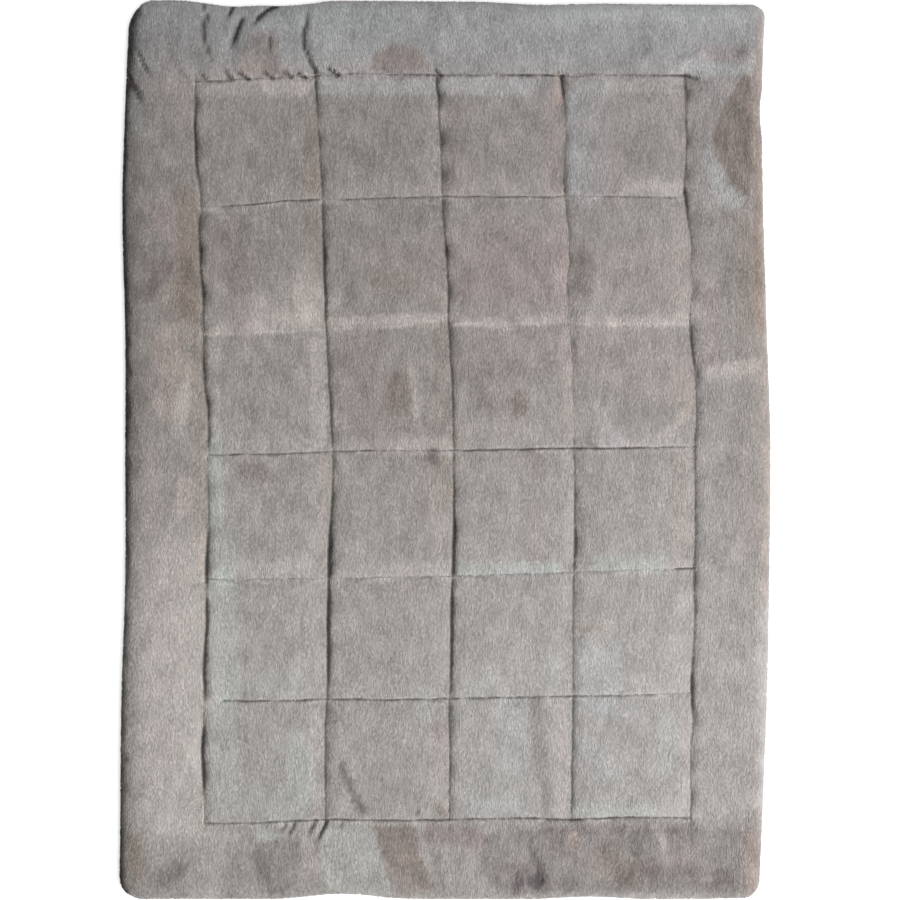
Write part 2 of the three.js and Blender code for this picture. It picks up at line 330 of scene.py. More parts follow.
# Creases and tucks, each a run of places, in millimetres: how far its slopes reach, its depth, how dark
# the painted shade at its bottom is, and which ends fade out. A depth below zero is a ridge.
creases = [
    ('head, bent', [(-666, 1216), (-678, 1193), (-680, 1176), (-674, 1148), (-669, 1123), (-655, 1089)],
     15, 7, 0.8, 'far'),
    ('head, notch', [(-679, 1246), (-675, 1232)], 9, 4, 0.7, 'far'),
    ('head, short', [(-597, 1241), (-609, 1212)], 12, 6, 1.4, 'far'),
    ('head, second', [(-571, 1206), (-579, 1184), (-589, 1158), (-599, 1135)], 17, 11, 1.4, 'far'),
    ('head, dent below the second', [(-600, 1140)], 26, 4, 0.15, 'both'),
    ('head, deep', [(-475, 1243), (-500, 1232), (-520, 1215), (-536, 1193)], 17, 13, 1.7, 'far'),
    ('head, faint', [(-492, 1168), (-492, 1111)], 12, 5, 0.7, 'both'),
    ('head, long', [(-385, 1240), (-391, 1193), (-399, 1156), (-393, 1123), (-379, 1089), (-366, 1066)],
     18, 8, 1, 'both'),
    ('head, beside the corner', [(-781, 1130), (-770, 1105), (-742, 1052), (-708, 1034)], 16, 4, 0.3, 'both'),
    ('head, soft dent', [(500, 1102), (574, 1160)], 54, 4, 0, 'both'),
    ('left corner, deep', [(-894, 1048), (-872, 1016), (-850, 976)], 16, 12, 1.6, 'far'),
    ('left corner, bent', [(-868, 1128), (-857, 1106), (-846, 1081), (-832, 1058), (-823, 1044)],
     12, 6, 1, 'both'),
    ('left corner, ridge', [(-876, 1120), (-862, 1092), (-848, 1066)], 9, -4, 0, 'both'),
    ('right corner ridge', [(638, 1064), (690, 1094), (738, 1128)], 26, -6, 0, 'both'),
    ('right corner dent', [(790, 1112), (846, 1130)], 30, 5, 0, 'both'),
    ('foot, bent', [(-686, -1052), (-620, -1092), (-560, -1130), (-522, -1196)], 32, 4, 0.1, 'both'),
    ('foot, second arc', [(-620, -1120), (-604, -1196)], 24, 3, 0, 'both'),
    ('foot corner dent', [(-766, -1178), (-740, -1160)], 50, 3, 0, 'both'),
    ('foot, middle', [(-40, -1105), (-16, -1228)], 26, 5, 0.1, 'both'),
    ('foot, right', [(233, -1092), (266, -1186), (270, -1226)], 24, 6, 0.3, 'both'),
    ('foot ridge', [(560, -1050), (596, -1075), (614, -1128)], 22, -5, 0, 'both'),
    ('rim pucker', [(-895, 420), (-880, 366)], 10, 5, 0.8, 'both'),
    ('rim pucker', [(-893, 322), (-882, 282)], 10, 5, 0.8, 'both'),
    ('rim pucker', [(-893, 251), (-880, 197)], 10, 6, 0.9, 'both'),
    ('rim pucker', [(-893, 167), (-884, 85)], 12, 6, 0.9, 'both'),
    ('rim pucker', [(-892, -15), (-882, -44)], 10, 4, 0.7, 'both'),
    ('rim pucker', [(-893, -105), (-885, -125)], 9, 4, 0.6, 'both'),
    ('rim pucker', [(-894, -254), (-886, -353)], 10, 5, 0.7, 'both'),
    ('rim pucker', [(-899, -566), (-890, -592)], 9, 4, 0.6, 'both'),
    ('rim pucker', [(-902, -850), (-892, -874)], 9, 4, 0.6, 'both'),
    ('rim pucker', [(-903, -932), (-893, -960)], 9, 4, 0.6, 'both'),
]

# Small tucks that the seams draw in, from the seam outwards: start, end and how dark their painted shade is
tucks = [
    ((-666, 1033), (-691, 1058), 0.6), ((-599, 1038), (-621, 1066), 0.9), ((-554, 1040), (-584, 1061), 1.3),
    ((-486, 1043), (-514, 1062), 0.8), ((-433, 1045), (-458, 1066), 1), ((-393, 1044), (-419, 1058), 1.3),
    ((-365, 1061), (-385, 1097), 1.1), ((-301, 1050), (-332, 1071), 1.4), ((-155, 1058), (-177, 1072), 0.4),
    ((-14, 1048), (-34, 1071), 0.8), ((326, 1041), (309, 1061), 0.6), ((702, 1040), (666, 1052), 1),
    ((-423, -1048), (-443, -1081), 0.7), ((-366, -1044), (-384, -1075), 0.8),
    ((-334, -1042), (-360, -1096), 0.9), ((-292, -1046), (-303, -1064), 0.4),
    ((-448, -1048), (-460, -1066), 0.4), ((-73, -1030), (-90, -999), 0.4),
    ((273, -316), (281, -291), 0.4), ((422, 7), (388, 30), 0.3),
]

# Every tuck has a small ridge beside it
tuck = {
    'reach': 12,
    'depth': (3, 3),  # and how much deeper a dark one is
    'ridgeShift': (10, 3),
    'ridgeReach': 10,
    'ridgeHeight': 4,
}
for start, end, core in tucks:
    shiftX, shiftY = tuck['ridgeShift']
    beside = [(x + shiftX, y + shiftY) for x, y in (start, end)]
    depth, deeper = tuck['depth']
    creases += [
        ('tuck', [start, end], tuck['reach'], depth + deeper * core, core, 'far'),
        ('beside a tuck', beside, tuck['ridgeReach'], -tuck['ridgeHeight'] * core, 0, 'far'),
    ]

# Painted shade in the creases, in the seams and under the rims: how dark it is, with reaches in millimetres
shade = {
    'creaseEnd': 0.2,  # share of a crease left at an end that fades out
    'creaseFade': 0.3,  # share of its length over which it fades
    'creaseCore': (1.5, 5, 2.5),  # where its dark starts to fade, where it ends, and how much wider if dark
    'past': (0.35, -4, 0.5),  # share of the rims' painted shade left past them, and from how far out to how far in
    'widensFrom': (850, 1150),  # the painted shade of the left rim widens towards the head
    'leftRim': (0.7, 7, 14),  # how dark, its reach, and how much further at the head
    'endRims': (0.25, 4),
    # for the seams along: from which gape to which they darken, how dark, how much darker by the gape,
    # how far to the left, how far to the right, and how much further by the gape
    'groundAlong': ((0.05, 0.3), 0.5, 0.3, 2.5, 3, 8),
    'pileAlong': ((0.02, 0.65), 1, 0, 1.5, 4, 14),
    # for the seams across: from which gape to which they darken, how dark and how far
    'groundAcross': ((0.05, 0.25), 0.72, 2.4),
    'pileAcross': ((0.05, 0.2), 0.2, 3),
}


def creasedBy(x, y):
    # how deep the creases are at each place, and how dark their painted shade is
    depths, shades = np.zeros_like(x), np.zeros_like(x)
    left, (darkFrom, darkTo, wider) = shade['creaseEnd'], shade['creaseCore']
    for _, run, reach, depth, core, fades in creases:
        near = withinReach(x, y, run, reach)
        if not near.any():
            continue
        distance, along = toRun(x[near], y[near], run)
        fade = np.minimum(along, 1 - along) if fades == 'both' else 1 - along
        strength = 1 if len(run) == 1 else left + (1 - left) * step(fade, 0, shade['creaseFade'])
        depths[near] += depth * strength * hump(distance, reach)
        bottom = 1 - step(distance, darkFrom, darkTo + wider * core)
        shades[near] = np.maximum(shades[near], core * strength * bottom)
    return depths, shades


def toSeams(x, y):
    # for each place, the nearest seam along and the nearest across: how far off, and how far it gapes there.
    # To the right of a seam along and above a seam across, the distance is over zero.
    share, length = quilt['unevenGape']
    uneven = 1 + share * softNoise(x, y, length, seed=5)
    found = []
    for away, along, half, otherHalf, squares, seams in (
            (x, y, fieldHalfWidth, fieldHalfLength, layout['squaresAcross'], gapeAlong),
            (y, x, fieldHalfLength, fieldHalfWidth, layout['squaresAlong'], gapeAcross)):
        number = np.clip(np.round((away + half) / square), 0, squares).astype(int)
        off = away + half - number * square
        gape = np.zeros_like(along)
        for seam, readings in enumerate(seams):
            here = number == seam
            gape[here] = np.interp(along[here], *zip(*readings))
        found += [np.copysign(np.hypot(off, np.maximum(abs(along) - otherHalf, 0)), off), gape * uneven]
    return found


def oneSided(distance, before, after):
    # a hump that reaches less far before zero than after it
    return np.where(distance < 0, hump(-distance, before), hump(distance, after))


def openness(x, y):
    # 1 in the middle of a gaping seam, 0 away from it
    offAlong, alongGape, offAcross, acrossGape = toSeams(x, y)
    base, more = quilt['gapeReach']
    return np.maximum(
        alongGape * oneSided(offAlong, base, base + more * alongGape),
        acrossGape * hump(abs(offAcross), base + more * acrossGape))


def atHead(y):
    # 0 up to where the left rim's painted shade widens, 1 at the head
    return step(y, *shade['widensFrom'])


def overRim(x, y):
    # 1 on top of the quilt, less past its rim, where the pile hangs down: the share of the rims' painted
    # shade
    least, outside, inside = shade['past']
    return least + (1 - least) * step(toEdge(x, y), outside, inside)


def seamShade(x, y, layer):
    # painted shade in and beside each seam, on the ground or in the pile beside it, and on the pile under the
    # rims
    offAlong, alongGape, offAcross, acrossGape = toSeams(x, y)
    opens, dark, darker, left, right, wider = shade[layer + 'Along']
    seamsAlong = (dark * step(alongGape, *opens) + darker * alongGape) * oneSided(
        offAlong, left, right + wider * alongGape)
    opens, dark, reach = shade[layer + 'Across']
    seamsAcross = dark * step(acrossGape, *opens) * hump(abs(offAcross), reach)
    if layer == 'ground':
        return np.maximum(seamsAlong, seamsAcross)
    # painted shade on the pile at the left rim, which turns away from the light, and at the head and foot
    dark, reach, wider = shade['leftRim']
    leftRim = dark * hump(halfWidth + x, reach + wider * atHead(y)) * overRim(x, y)
    dark, reach = shade['endRims']
    ends = [dark * hump(halfLength - y, reach), dark * hump(halfLength + y, reach)]
    return np.maximum.reduce([seamsAlong, seamsAcross, leftRim, *ends])


def closedShare(gape):
    # share of the crown that the pile keeps over a seam
    return np.interp(gape, *zip(*quilt['closedOver']))


def tipHeight(x, y, planX, planY):
    # height of the pile's tips
    def slope(distance, reach, lipShare):
        return lipShare * quarterRound(distance, quilt['lip']) + (1 - lipShare) * filled(
            distance, reach, quilt['swell'])

    inField = (abs(x) <= fieldHalfWidth) & (abs(y) <= fieldHalfLength)
    rightOf, below = (x + fieldHalfWidth) % square, (y + fieldHalfLength) % square
    reach, lip, lean = quilt['squareSlope'], quilt['lipShare'], quilt['lipLean']
    _, alongGape, _, acrossGape = toSeams(x, y)
    closedAlong, closedAcross = closedShare(quilt['gapeAlongCounts'] * alongGape), closedShare(acrossGape)
    fillAcross = slope(rightOf, reach, lip + lean) * slope(square - rightOf, reach, lip - lean)
    fillAlong = slope(below, reach, lip) * slope(square - below, reach, lip)
    squareFill = closedAlong + (1 - closedAlong) * fillAcross
    squareFill = squareFill * (closedAcross + (1 - closedAcross) * fillAlong)
    beyond = beyondField(x, y)
    sideways = np.sign(x) * np.maximum(abs(x) - fieldHalfWidth, 0) / np.maximum(beyond, tiny)
    closed = np.where(abs(y) > fieldHalfLength, closedAcross, closedAlong)
    borderFill = closed + (1 - closed) * slope(beyond, quilt['borderSlope'], lip + lean * sideways)
    fill = np.where(inField, squareFill, borderFill)
    crown = np.where(inField, quilt['squareCrown'], quilt['borderCrown'])
    (rise, length), (fineRise, fineLength) = quilt['unevenness'], quilt['dimples']
    uneven = rise * softNoise(planX, planY, length, seed=3)
    uneven = uneven + fineRise * softNoise(planX, planY, fineLength, seed=4)
    smooth = quilt['stitchTop'] + (crown - quilt['stitchTop']) * fill + uneven * fill
    smooth = smooth - quilt['gapeDepth'] * openness(x, y)
    height = np.maximum(smooth - creasedBy(planX, planY)[0], quilt['stitchTop'] - quilt['deepest'])
    return quilt['rimHeight'] + (height - quilt['rimHeight']) * quarterRound(toEdge(x, y), quilt['rollOver'])


def underHeight(x, y):
    inField = (abs(x) <= fieldHalfWidth) & (abs(y) <= fieldHalfLength)
    toStitches = np.where(
        inField,
        np.minimum(toStitchLine(x, fieldHalfWidth), toStitchLine(y, fieldHalfLength)),
        beyondField(x, y),
    )
    channel = quilt['stitchUnder'] * hump(toStitches, quilt['channelUnder'])
    return channel + quilt['rimHeight'] * (1 - quarterRound(toEdge(x, y), quilt['rollUnder']))


def evenSteps(start, end, most):
    return list(np.linspace(start, end, max(2, math.ceil((end - start) / most) + 1)))[1:-1]


def gridLines(half, squareSteps, nearSeam, nearEdge, borderStep):
    # fine steps beside each stitch line and at the edge, and even steps between
    fieldHalf = len(squareSteps) * square / 2
    border = half - fieldHalf
    outwards = nearSeam + evenSteps(nearSeam[-1], border - nearEdge[-1], borderStep)
    outwards += [border - place for place in reversed(nearEdge)]
    lines = [-fieldHalf - place for place in reversed(outwards[1:])]
    for number, most in enumerate(squareSteps):
        across = nearSeam + evenSteps(nearSeam[-1], square - nearSeam[-1], most)
        across += [square - place for place in reversed(nearSeam[1:])]
        lines += [number * square - fieldHalf + place for place in across]
    return lines + [fieldHalf + place for place in outwards]


def numbersOf(data, name, size=1, kind=np.float32):
    # a value of every element of a mesh, as rows of so many numbers
    values = np.empty(len(data) * size, dtype=kind)
    data.foreach_get(name, values)
    return values if size == 1 else values.reshape(-1, size)


def storedNumbers(mesh, name):
    return numbersOf(mesh.attributes[name].data, 'value').astype(float)


def storeNumbers(mesh, name, values):
    mesh.attributes.new(name, 'FLOAT', 'POINT').data.foreach_set('value', values.astype(np.float32).ravel())


def storeVectors(mesh, name, values):
    vectors = mesh.attributes.new(name, 'FLOAT_VECTOR', 'POINT').data
    vectors.foreach_set('vector', values.astype(np.float32).ravel())


def addGrid(columns, rows, height, name):
    bpy.ops.mesh.primitive_grid_add(x_subdivisions=len(columns) - 1, y_subdivisions=len(rows) - 1, size=2)
    sheet = bpy.context.object
    sheet.name = name
    x, y = np.meshgrid(columns, rows)
    planX, planY = planOf(columns, rows)
    heights = height(x, y, planX, planY)
    places = np.stack([planX, planY, heights], axis=-1)
    sheet.data.vertices.foreach_set('co', (places * mm).ravel())
    storeNumbers(sheet.data, 'evenX', x)
    storeNumbers(sheet.data, 'evenY', y)
    sheet.data.update()
    return sheet


def makeCloth():
    steps = (quilt['nearSeam'], quilt['nearEdge'], quilt['borderStep'])
    columns = gridLines(halfWidth, quilt['columnSteps'], *steps)
    rows = gridLines(halfLength, quilt['rowSteps'], *steps)
    underStep = quilt['underStep']
    steps = (quilt['underNearSeam'], quilt['underNearEdge'], underStep)
    underColumns = gridLines(halfWidth, [underStep] * layout['squaresAcross'], *steps)
    underRows = gridLines(halfLength, [underStep] * layout['squaresAlong'], *steps)
    print("top", len(columns), "x", len(rows), "under", len(underColumns), "x", len(underRows))
    top = addGrid(columns, rows, tipHeight, 'quiltCloth')
    under = addGrid(underColumns, underRows, lambda x, y, *_: underHeight(x, y), 'under')
    topPoints = len(top.data.vertices)
    bpy.ops.object.select_all(action='DESELECT')
    under.select_set(True)
    top.select_set(True)
    bpy.context.view_layer.objects.active = top
    bpy.ops.object.join()
    bpy.ops.object.mode_set(mode='EDIT')
    bpy.ops.mesh.select_mode(type='EDGE')
    bpy.ops.mesh.select_all(action='DESELECT')
    bpy.ops.mesh.select_non_manifold()
    bpy.ops.mesh.bridge_edge_loops()
    bpy.ops.mesh.select_all(action='SELECT')
    bpy.ops.mesh.normals_make_consistent(inside=False)
    bpy.ops.mesh.faces_shade_smooth()
    bpy.ops.object.mode_set(mode='OBJECT')
    top.select_set(False)
    return top, topPoints


def settleCloth(cloth, topPoints):
    # moves the middle of the outline over the origin, and the cloth down under its pile
    points = numbersOf(cloth.data.vertices, 'co', 3)
    outlineMiddle = (points[:, :2].min(axis=0) + points[:, :2].max(axis=0)) / 2
    points[:, :2] -= outlineMiddle
    normals = numbersOf(cloth.data.vertex_normals, 'vector', 3)
    inset = np.full(len(points), quilt['pressedPile'])
    inset[:topPoints] = quilt['pileDepth']
    points -= normals * inset[:, None] * mm
    points[:, 2] = np.maximum(points[:, 2], quilt['floorGap'] * mm)
    cloth.data.vertices.foreach_set('co', points.ravel())
    cloth.data.update()
    return outlineMiddle


def countTriangles(piece):
    piece.data.calc_loop_triangles()
    print(piece.name, len(piece.data.loop_triangles), "triangles")


cloth, topPoints = makeCloth()
outlineMiddle = settleCloth(cloth, topPoints)
countTriangles(cloth)


# How the nap was brushed by hands and folds. Each kind shifts its light, its warmth and its pink.
napKinds = {
    'pale': (0.24, 0.05, 0),
    'dark': (-0.28, 0.1, 0.1),
    'green': (0.15, -0.25, -0.75),
    'cool': (0.12, -0.8, 0.25),
    'pink': (0, 0.15, 0.95),
    'rosy': (0.18, 0.2, 0.5),
    'beige': (0.08, 0.8, 0),
    'brown': (-0.22, 1.3, 0.2),
    'purple': (-0.12, -0.1, 1),
    'olive': (-0.1, 1.3, -0.4),
    'silver': (0.22, -0.7, -0.1),
}

# Each place with such a nap: kind, how strong, half its width, softness of its edge, and its run.
# Placed in the photograph, with the kinds and strengths fitted to its colours. A scratch program
# fitted the kinds and strengths to its colours.
napMarks = [
    # head border
    ('cool', 0.9, 112, 62, [(-832, 1168), (826, 1168)]),
    ('pale', 0.4, 28, 22, [(-517, 1168), (-551, 1055)]),
    ('rosy', 0.5, 22, 17, [(-469, 1184), (-455, 1083)]),
    ('beige', 0.5, 20, 22, [(-649, 1061), (-382, 1061)]),
    ('rosy', 0.5, 20, 22, [(-284, 1072), (-59, 1078)]),
    ('pale', 0.8, 34, 50, [(300, 1235), (846, 1232)]),
    ('dark', 0.4, 90, 120, [(-830, 1180), (-480, 1170)]),
    ('green', 0.4, 80, 120, [(-480, 1170), (-200, 1150)]),
    ('dark', 0.2, 34, 39, [(466, 1089), (587, 1179)]),
    ('pink', 0.8, 22, 17, [(714, 1117), (832, 1100)]),
    # row 1
    ('pale', 0.9, 20, 14, [(-677, 1010), (-517, 1013)]),
    ('pale', 1.4, 25, 11, [(-489, 1016), (-402, 1016)]),
    ('silver', 1.3, 22, 11, [(-348, 1019), (-39, 1019)]),
    ('silver', 1.2, 25, 11, [(11, 1021), (230, 1016)]),
    ('green', 0.6, 22, 11, [(377, 1021), (455, 1016)]),
    ('pale', 0.6, 20, 11, [(461, 1021), (663, 1021)]),
    ('olive', 1.1, 22, 14, [(-379, 932), (-377, 735)]),
    ('pale', 0.4, 20, 14, [(-42, 971), (-25, 729)]),
    ('purple', 0.4, 42, 22, [(28, 971), (34, 735)]),
    ('pink', 1, 25, 22, [(309, 982), (303, 729)]),
    ('beige', 1.7, 17, 11, [(318, 1044), (320, 982)]),
    ('cool', 0.7, 53, 8, [(405, 976), (405, 735)]),
    ('pink', 0.9, 20, 22, [(478, 828), (483, 701)]),
    ('rosy', 0.3, 25, 14, [(655, 971), (660, 757)]),
    ('cool', 1.2, 14, 11, [(348, 993), (357, 729)]),
    ('pale', 0.4, 17, 34, [(-320, 726), (320, 732)]),
    ('pale', 0.8, 20, 28, [(523, 735), (658, 735)]),
    ('pale', 0.4, 20, 22, [(593, 746), (635, 726)]),
    # row 2
    ('purple', 0.9, 39, 34, [(-601, 622), (-579, 350)]),
    ('pale', 0.8, 62, 56, [(-545, 386), (-360, 420)]),
    ('pale', 0.6, 31, 17, [(-391, 527), (-393, 370)]),
    ('olive', 0.6, 20, 14, [(-374, 662), (-360, 476)]),
    ('rosy', 0.3, 56, 56, [(-171, 527), (-59, 476)]),
    ('olive', 0.5, 20, 14, [(-200, 476), (-96, 476)]),
    ('pink', 0.8, 118, 96, [(81, 527), (278, 510)]),
    ('green', 0.3, 39, 51, [(45, 659), (67, 561)]),
    ('rosy', 0.5, 25, 17, [(312, 687), (329, 392)]),
    ('rosy', 0.4, 84, 84, [(475, 490), (635, 490)]),
    ('dark', 0.7, 25, 25, [(388, 527), (377, 443)]),
    ('pale', 0.2, 51, 56, [(517, 659), (615, 603)]),
    ('rosy', 0.5, 25, 17, [(660, 679), (677, 386)]),
    ('pale', 0.3, 31, 22, [(399, 403), (433, 375)]),
    # the seam between rows 2 and 3
    ('pale', 0.4, 14, 14, [(-663, 347), (-517, 350)]),
    ('pale', 0.5, 22, 22, [(-517, 358), (-348, 375)]),
    ('pale', 1.2, 14, 11, [(-320, 361), (-129, 367), (0, 372)]),
    ('pale', 0.2, 14, 11, [(28, 364), (185, 355)]),
    ('pale', 0.8, 17, 11, [(110, 358), (174, 347)]),
    ('pale', 0.7, 14, 11, [(208, 364), (337, 372)]),
    ('pale', 0.5, 14, 14, [(365, 367), (461, 364)]),
    ('pale', 0.7, 17, 11, [(466, 361), (669, 364)]),
    # row 3
    ('pale', 0.9, 22, 8, [(-362, 296), (-354, 27)]),
    ('pale', 0.4, 17, 25, [(-590, 15), (-377, 21)]),
    ('silver', 0.6, 17, 6, [(-652, 308), (-646, 38)]),
    ('purple', 0.7, 56, 56, [(-236, 308), (-219, 60)]),
    ('brown', 0.9, 34, 20, [(-135, 190), (-132, 133)]),
    ('pale', 1, 8, 8, [(-96, 229), (-76, 60)]),
    ('purple', 0.5, 22, 22, [(-143, 60), (-39, 55)]),
    ('brown', 0.3, 25, 14, [(-17, 330), (6, 38)]),
    ('pale', 0.7, 14, 20, [(-284, 15), (-3, 21)]),
    ('purple', 0.4, 96, 67, [(81, 274), (278, 294)]),
    ('purple', 0.7, 28, 28, [(115, 139), (180, 117)]),
    ('dark', 0.4, 28, 34, [(67, 218), (96, 139)]),
    ('brown', 0.8, 22, 14, [(205, 145), (205, 111)]),
    ('pale', 0.3, 37, 39, [(56, 49), (309, 49)]),
    ('rosy', 0.8, 22, 14, [(337, 319), (354, 55)]),
    ('pink', 0.6, 90, 67, [(461, 274), (615, 223)]),
    ('dark', 0.2, 42, 8, [(483, 133), (545, 83), (624, 122)]),
    ('pale', 0.8, 14, 8, [(422, 128), (455, 60), (506, 18), (579, 15), (624, 49), (674, 105)]),
    ('cool', 0.8, 22, 11, [(464, 55), (478, 18)]),
    ('beige', 0.9, 22, 14, [(669, 212), (674, 97)]),
    # row 4
    ('green', 1.8, 22, 6, [(-646, 10), (-643, -198)]),
    ('green', 0.8, 37, 8, [(-627, -237), (-618, -350)]),
    ('purple', 1.7, 25, 20, [(-556, -58), (-506, -69)]),
    ('beige', 0.6, 11, 8, [(-343, -18), (-334, -311)]),
    ('pale', 0.7, 20, 25, [(-568, -333), (-343, -327)]),
    ('pale', 0.3, 14, 17, [(-360, -268), (-416, -344)]),
    ('purple', 0.4, 31, 11, [(-62, -18), (-45, -159)]),
    ('dark', 1.4, 17, 14, [(-39, -7), (-31, -27)]),
    ('olive', 0.7, 20, 11, [(-8, -35), (0, -159)]),
    ('rosy', 0.4, 22, 17, [(-17, -192), (-11, -271)]),
    ('pale', 0.6, 20, 25, [(-292, -339), (-17, -330)]),
    ('purple', 1.2, 25, 22, [(242, -18), (259, -58)]),
    ('pink', 0.7, 22, 17, [(253, -170), (259, -299)]),
    ('pale', 0.6, 17, 11, [(334, -18), (351, -299)]),
    ('green', 1.5, 20, 22, [(45, -333), (309, -330)]),
    ('dark', 0.3, 28, 51, [(393, -35), (399, -299)]),
    ('beige', 0.5, 28, 11, [(666, -18), (669, -299)]),
    ('green', 1.3, 25, 22, [(427, -316), (596, -319)]),
    # row 5
    ('green', 1, 42, 6, [(-624, -367), (-627, -451), (-618, -670)]),
    ('green', 0.6, 34, 14, [(-517, -659), (-410, -653)]),
    ('pale', 0.2, 25, 22, [(-371, -389), (-360, -676)]),
    ('rosy', 0.3, 20, 14, [(-118, -389), (-45, -389)]),
    ('dark', 0.3, 25, 39, [(-264, -614), (-202, -603)]),
    ('green', 0.7, 25, 11, [(-59, -687), (-67, -749)]),
    ('green', 0.4, 42, 17, [(79, -653), (166, -597)]),
    ('green', 0.5, 22, 11, [(298, -592), (301, -659)]),
    ('pale', 0.2, 25, 20, [(326, -384), (329, -676)]),
    ('cool', 0.9, 62, 8, [(433, -569), (433, -676)]),
    ('olive', 0.7, 25, 14, [(399, -502), (433, -524)]),
    ('green', 0.3, 25, 14, [(523, -659), (618, -659)]),
    ('pale', 0.3, 25, 22, [(666, -400), (666, -676)]),
    # row 6
    ('green', 0.5, 42, 11, [(-627, -721), (-618, -923)]),
    ('green', 0.4, 42, 17, [(-629, -979), (-410, -985)]),
    ('green', 1, 37, 17, [(-422, -828), (-396, -957)]),
    ('pale', 0.5, 22, 17, [(-362, -746), (-360, -887)]),
    ('beige', 0.5, 17, 14, [(-365, -951), (-360, -1019)]),
    ('dark', 1.7, 10, 9, [(-292, -880), (-270, -935), (-233, -1010)]),
    ('pink', 0.9, 22, 14, [(-28, -783), (-17, -799)]),
    ('rosy', 0.5, 17, 17, [(-11, -816), (-6, -985)]),
    ('brown', 1, 14, 11, [(-14, -1002), (-8, -1021)]),
    ('green', 0.4, 96, 8, [(124, -732), (129, -915)]),
    ('cool', 0.5, 39, 17, [(185, -721), (197, -873)]),
    ('cool', 0.9, 25, 11, [(73, -1002), (180, -1002)]),
    ('dark', 0.7, 17, 14, [(253, -710), (259, -822), (278, -929), (281, -1024)]),
    ('rosy', 0.8, 22, 17, [(320, -726), (323, -1019)]),
    ('cool', 0.6, 25, 8, [(444, -726), (528, -726)]),
    ('green', 0.3, 25, 14, [(393, -738), (427, -788)]),
    ('cool', 0.7, 28, 14, [(393, -830), (444, -906)]),
    ('green', 0.2, 37, 17, [(472, -887), (534, -985)]),
    ('green', 0.7, 31, 14, [(621, -766), (624, -873)]),
    ('pale', 0.5, 20, 17, [(669, -732), (669, -1019)]),
    ('pale', 0.3, 25, 17, [(601, -1002), (674, -996)]),
    ('green', 0.9, 20, 14, [(377, -1007), (568, -1013)]),
    # left border
    ('green', 0.6, 22, 17, [(-877, 887), (-815, 881)]),
    ('cool', 1.3, 22, 22, [(-877, 982), (-865, 920)]),
    ('olive', 1.1, 36, 20, [(-731, 700), (-711, 561), (-714, 380)]),
    ('olive', 0.7, 34, 22, [(-747, 527), (-740, 400)]),
    ('purple', 1.4, 25, 25, [(-790, 510), (-832, 443)]),
    ('pink', 1.1, 25, 22, [(-790, 667), (-753, 561)]),
    ('beige', 1.1, 48, 25, [(-770, 302), (-759, 120)]),
    ('silver', 0.9, 20, 14, [(-731, 173), (-753, 55)]),
    ('olive', 0.6, 14, 8, [(-694, 319), (-688, -1), (-686, -327)]),
    ('rosy', 0.3, 25, 20, [(-826, -30), (-826, -212)]),
    ('rosy', 1.2, 22, 17, [(-733, -91), (-736, -164)]),
    ('pale', 1, 110, 140, [(-770, -340), (-770, -985)]),
    ('green', 0.3, 20, 11, [(-781, -721), (-719, -726)]),
    # foot border
    ('pale', 1.2, 4, 5, [(247, -1103), (267, -1148)]),
    ('pale', 1, 5, 5, [(579, -1050), (601, -1064), (607, -1114)]),
    ('green', 0.3, 22, 14, [(-787, -1047), (-719, -1052)]),
    ('olive', 1.3, 20, 17, [(-871, -1092), (-860, -1187)]),
    ('dark', 0.8, 25, 25, [(-747, -1165), (-781, -1198)]),
    ('pink', 0.9, 17, 14, [(-377, -1114), (-377, -1187)]),
    ('cool', 0.4, 22, 11, [(-169, -1170), (-135, -1243)]),
    ('purple', 2, 28, 14, [(-34, -1075), (90, -1086)]),
    ('purple', 1.1, 22, 22, [(185, -1170), (208, -1221)]),
    ('purple', 0.9, 25, 20, [(247, -1170), (270, -1215)]),
    ('purple', 0.4, 90, 20, [(337, -1148), (840, -1148)]),
    ('dark', 0.8, 90, 30, [(180, -1148), (840, -1148)]),
    ('olive', 1, 39, 25, [(444, -1148), (528, -1187)]),
    ('beige', 1.5, 22, 17, [(354, -1080), (365, -1114)]),
    ('purple', 1, 17, 22, [(545, -1170), (714, -1176)]),
    ('pink', 0.6, 25, 22, [(731, -1210), (792, -1204)]),
    ('beige', 1.5, 22, 17, [(854, -1092), (860, -1221)]),
    ('purple', 0.6, 20, 14, [(290, -1052), (684, -1050)]),
    ('dark', 0.4, 20, 14, [(290, -1052), (684, -1050)]),
    # right border
    ('beige', 0.5, 16, 14, [(862, 1095), (866, 800), (878, 340)]),
    ('silver', 1, 20, 14, [(728, 830), (750, 763)]),
    ('silver', 0.4, 22, 11, [(764, 729), (804, 693)]),
    ('cool', 0.8, 22, 20, [(792, 926), (815, 842)]),
    ('beige', 0.6, 17, 14, [(888, 1190), (888, 813), (893, 420)]),
    ('pink', 0.7, 11, 8, [(776, 662), (821, 631)]),
    ('olive', 0.7, 31, 20, [(843, 611), (854, 358)]),
    ('pink', 1, 25, 22, [(742, 443), (747, 251)]),
    ('pale', 1.3, 22, 17, [(742, 218), (860, 235)]),
    ('purple', 0.4, 25, 20, [(832, -24), (849, -268)]),
    ('purple', 0.3, 22, 17, [(784, -24), (809, -74)]),
    ('beige', 0.3, 17, 8, [(896, 420), (905, 27), (902, -395)]),
    ('cool', 1.5, 20, 17, [(894, -451), (888, -985)]),
    ('purple', 0.5, 34, 22, [(832, -1047), (860, -1097)]),
]
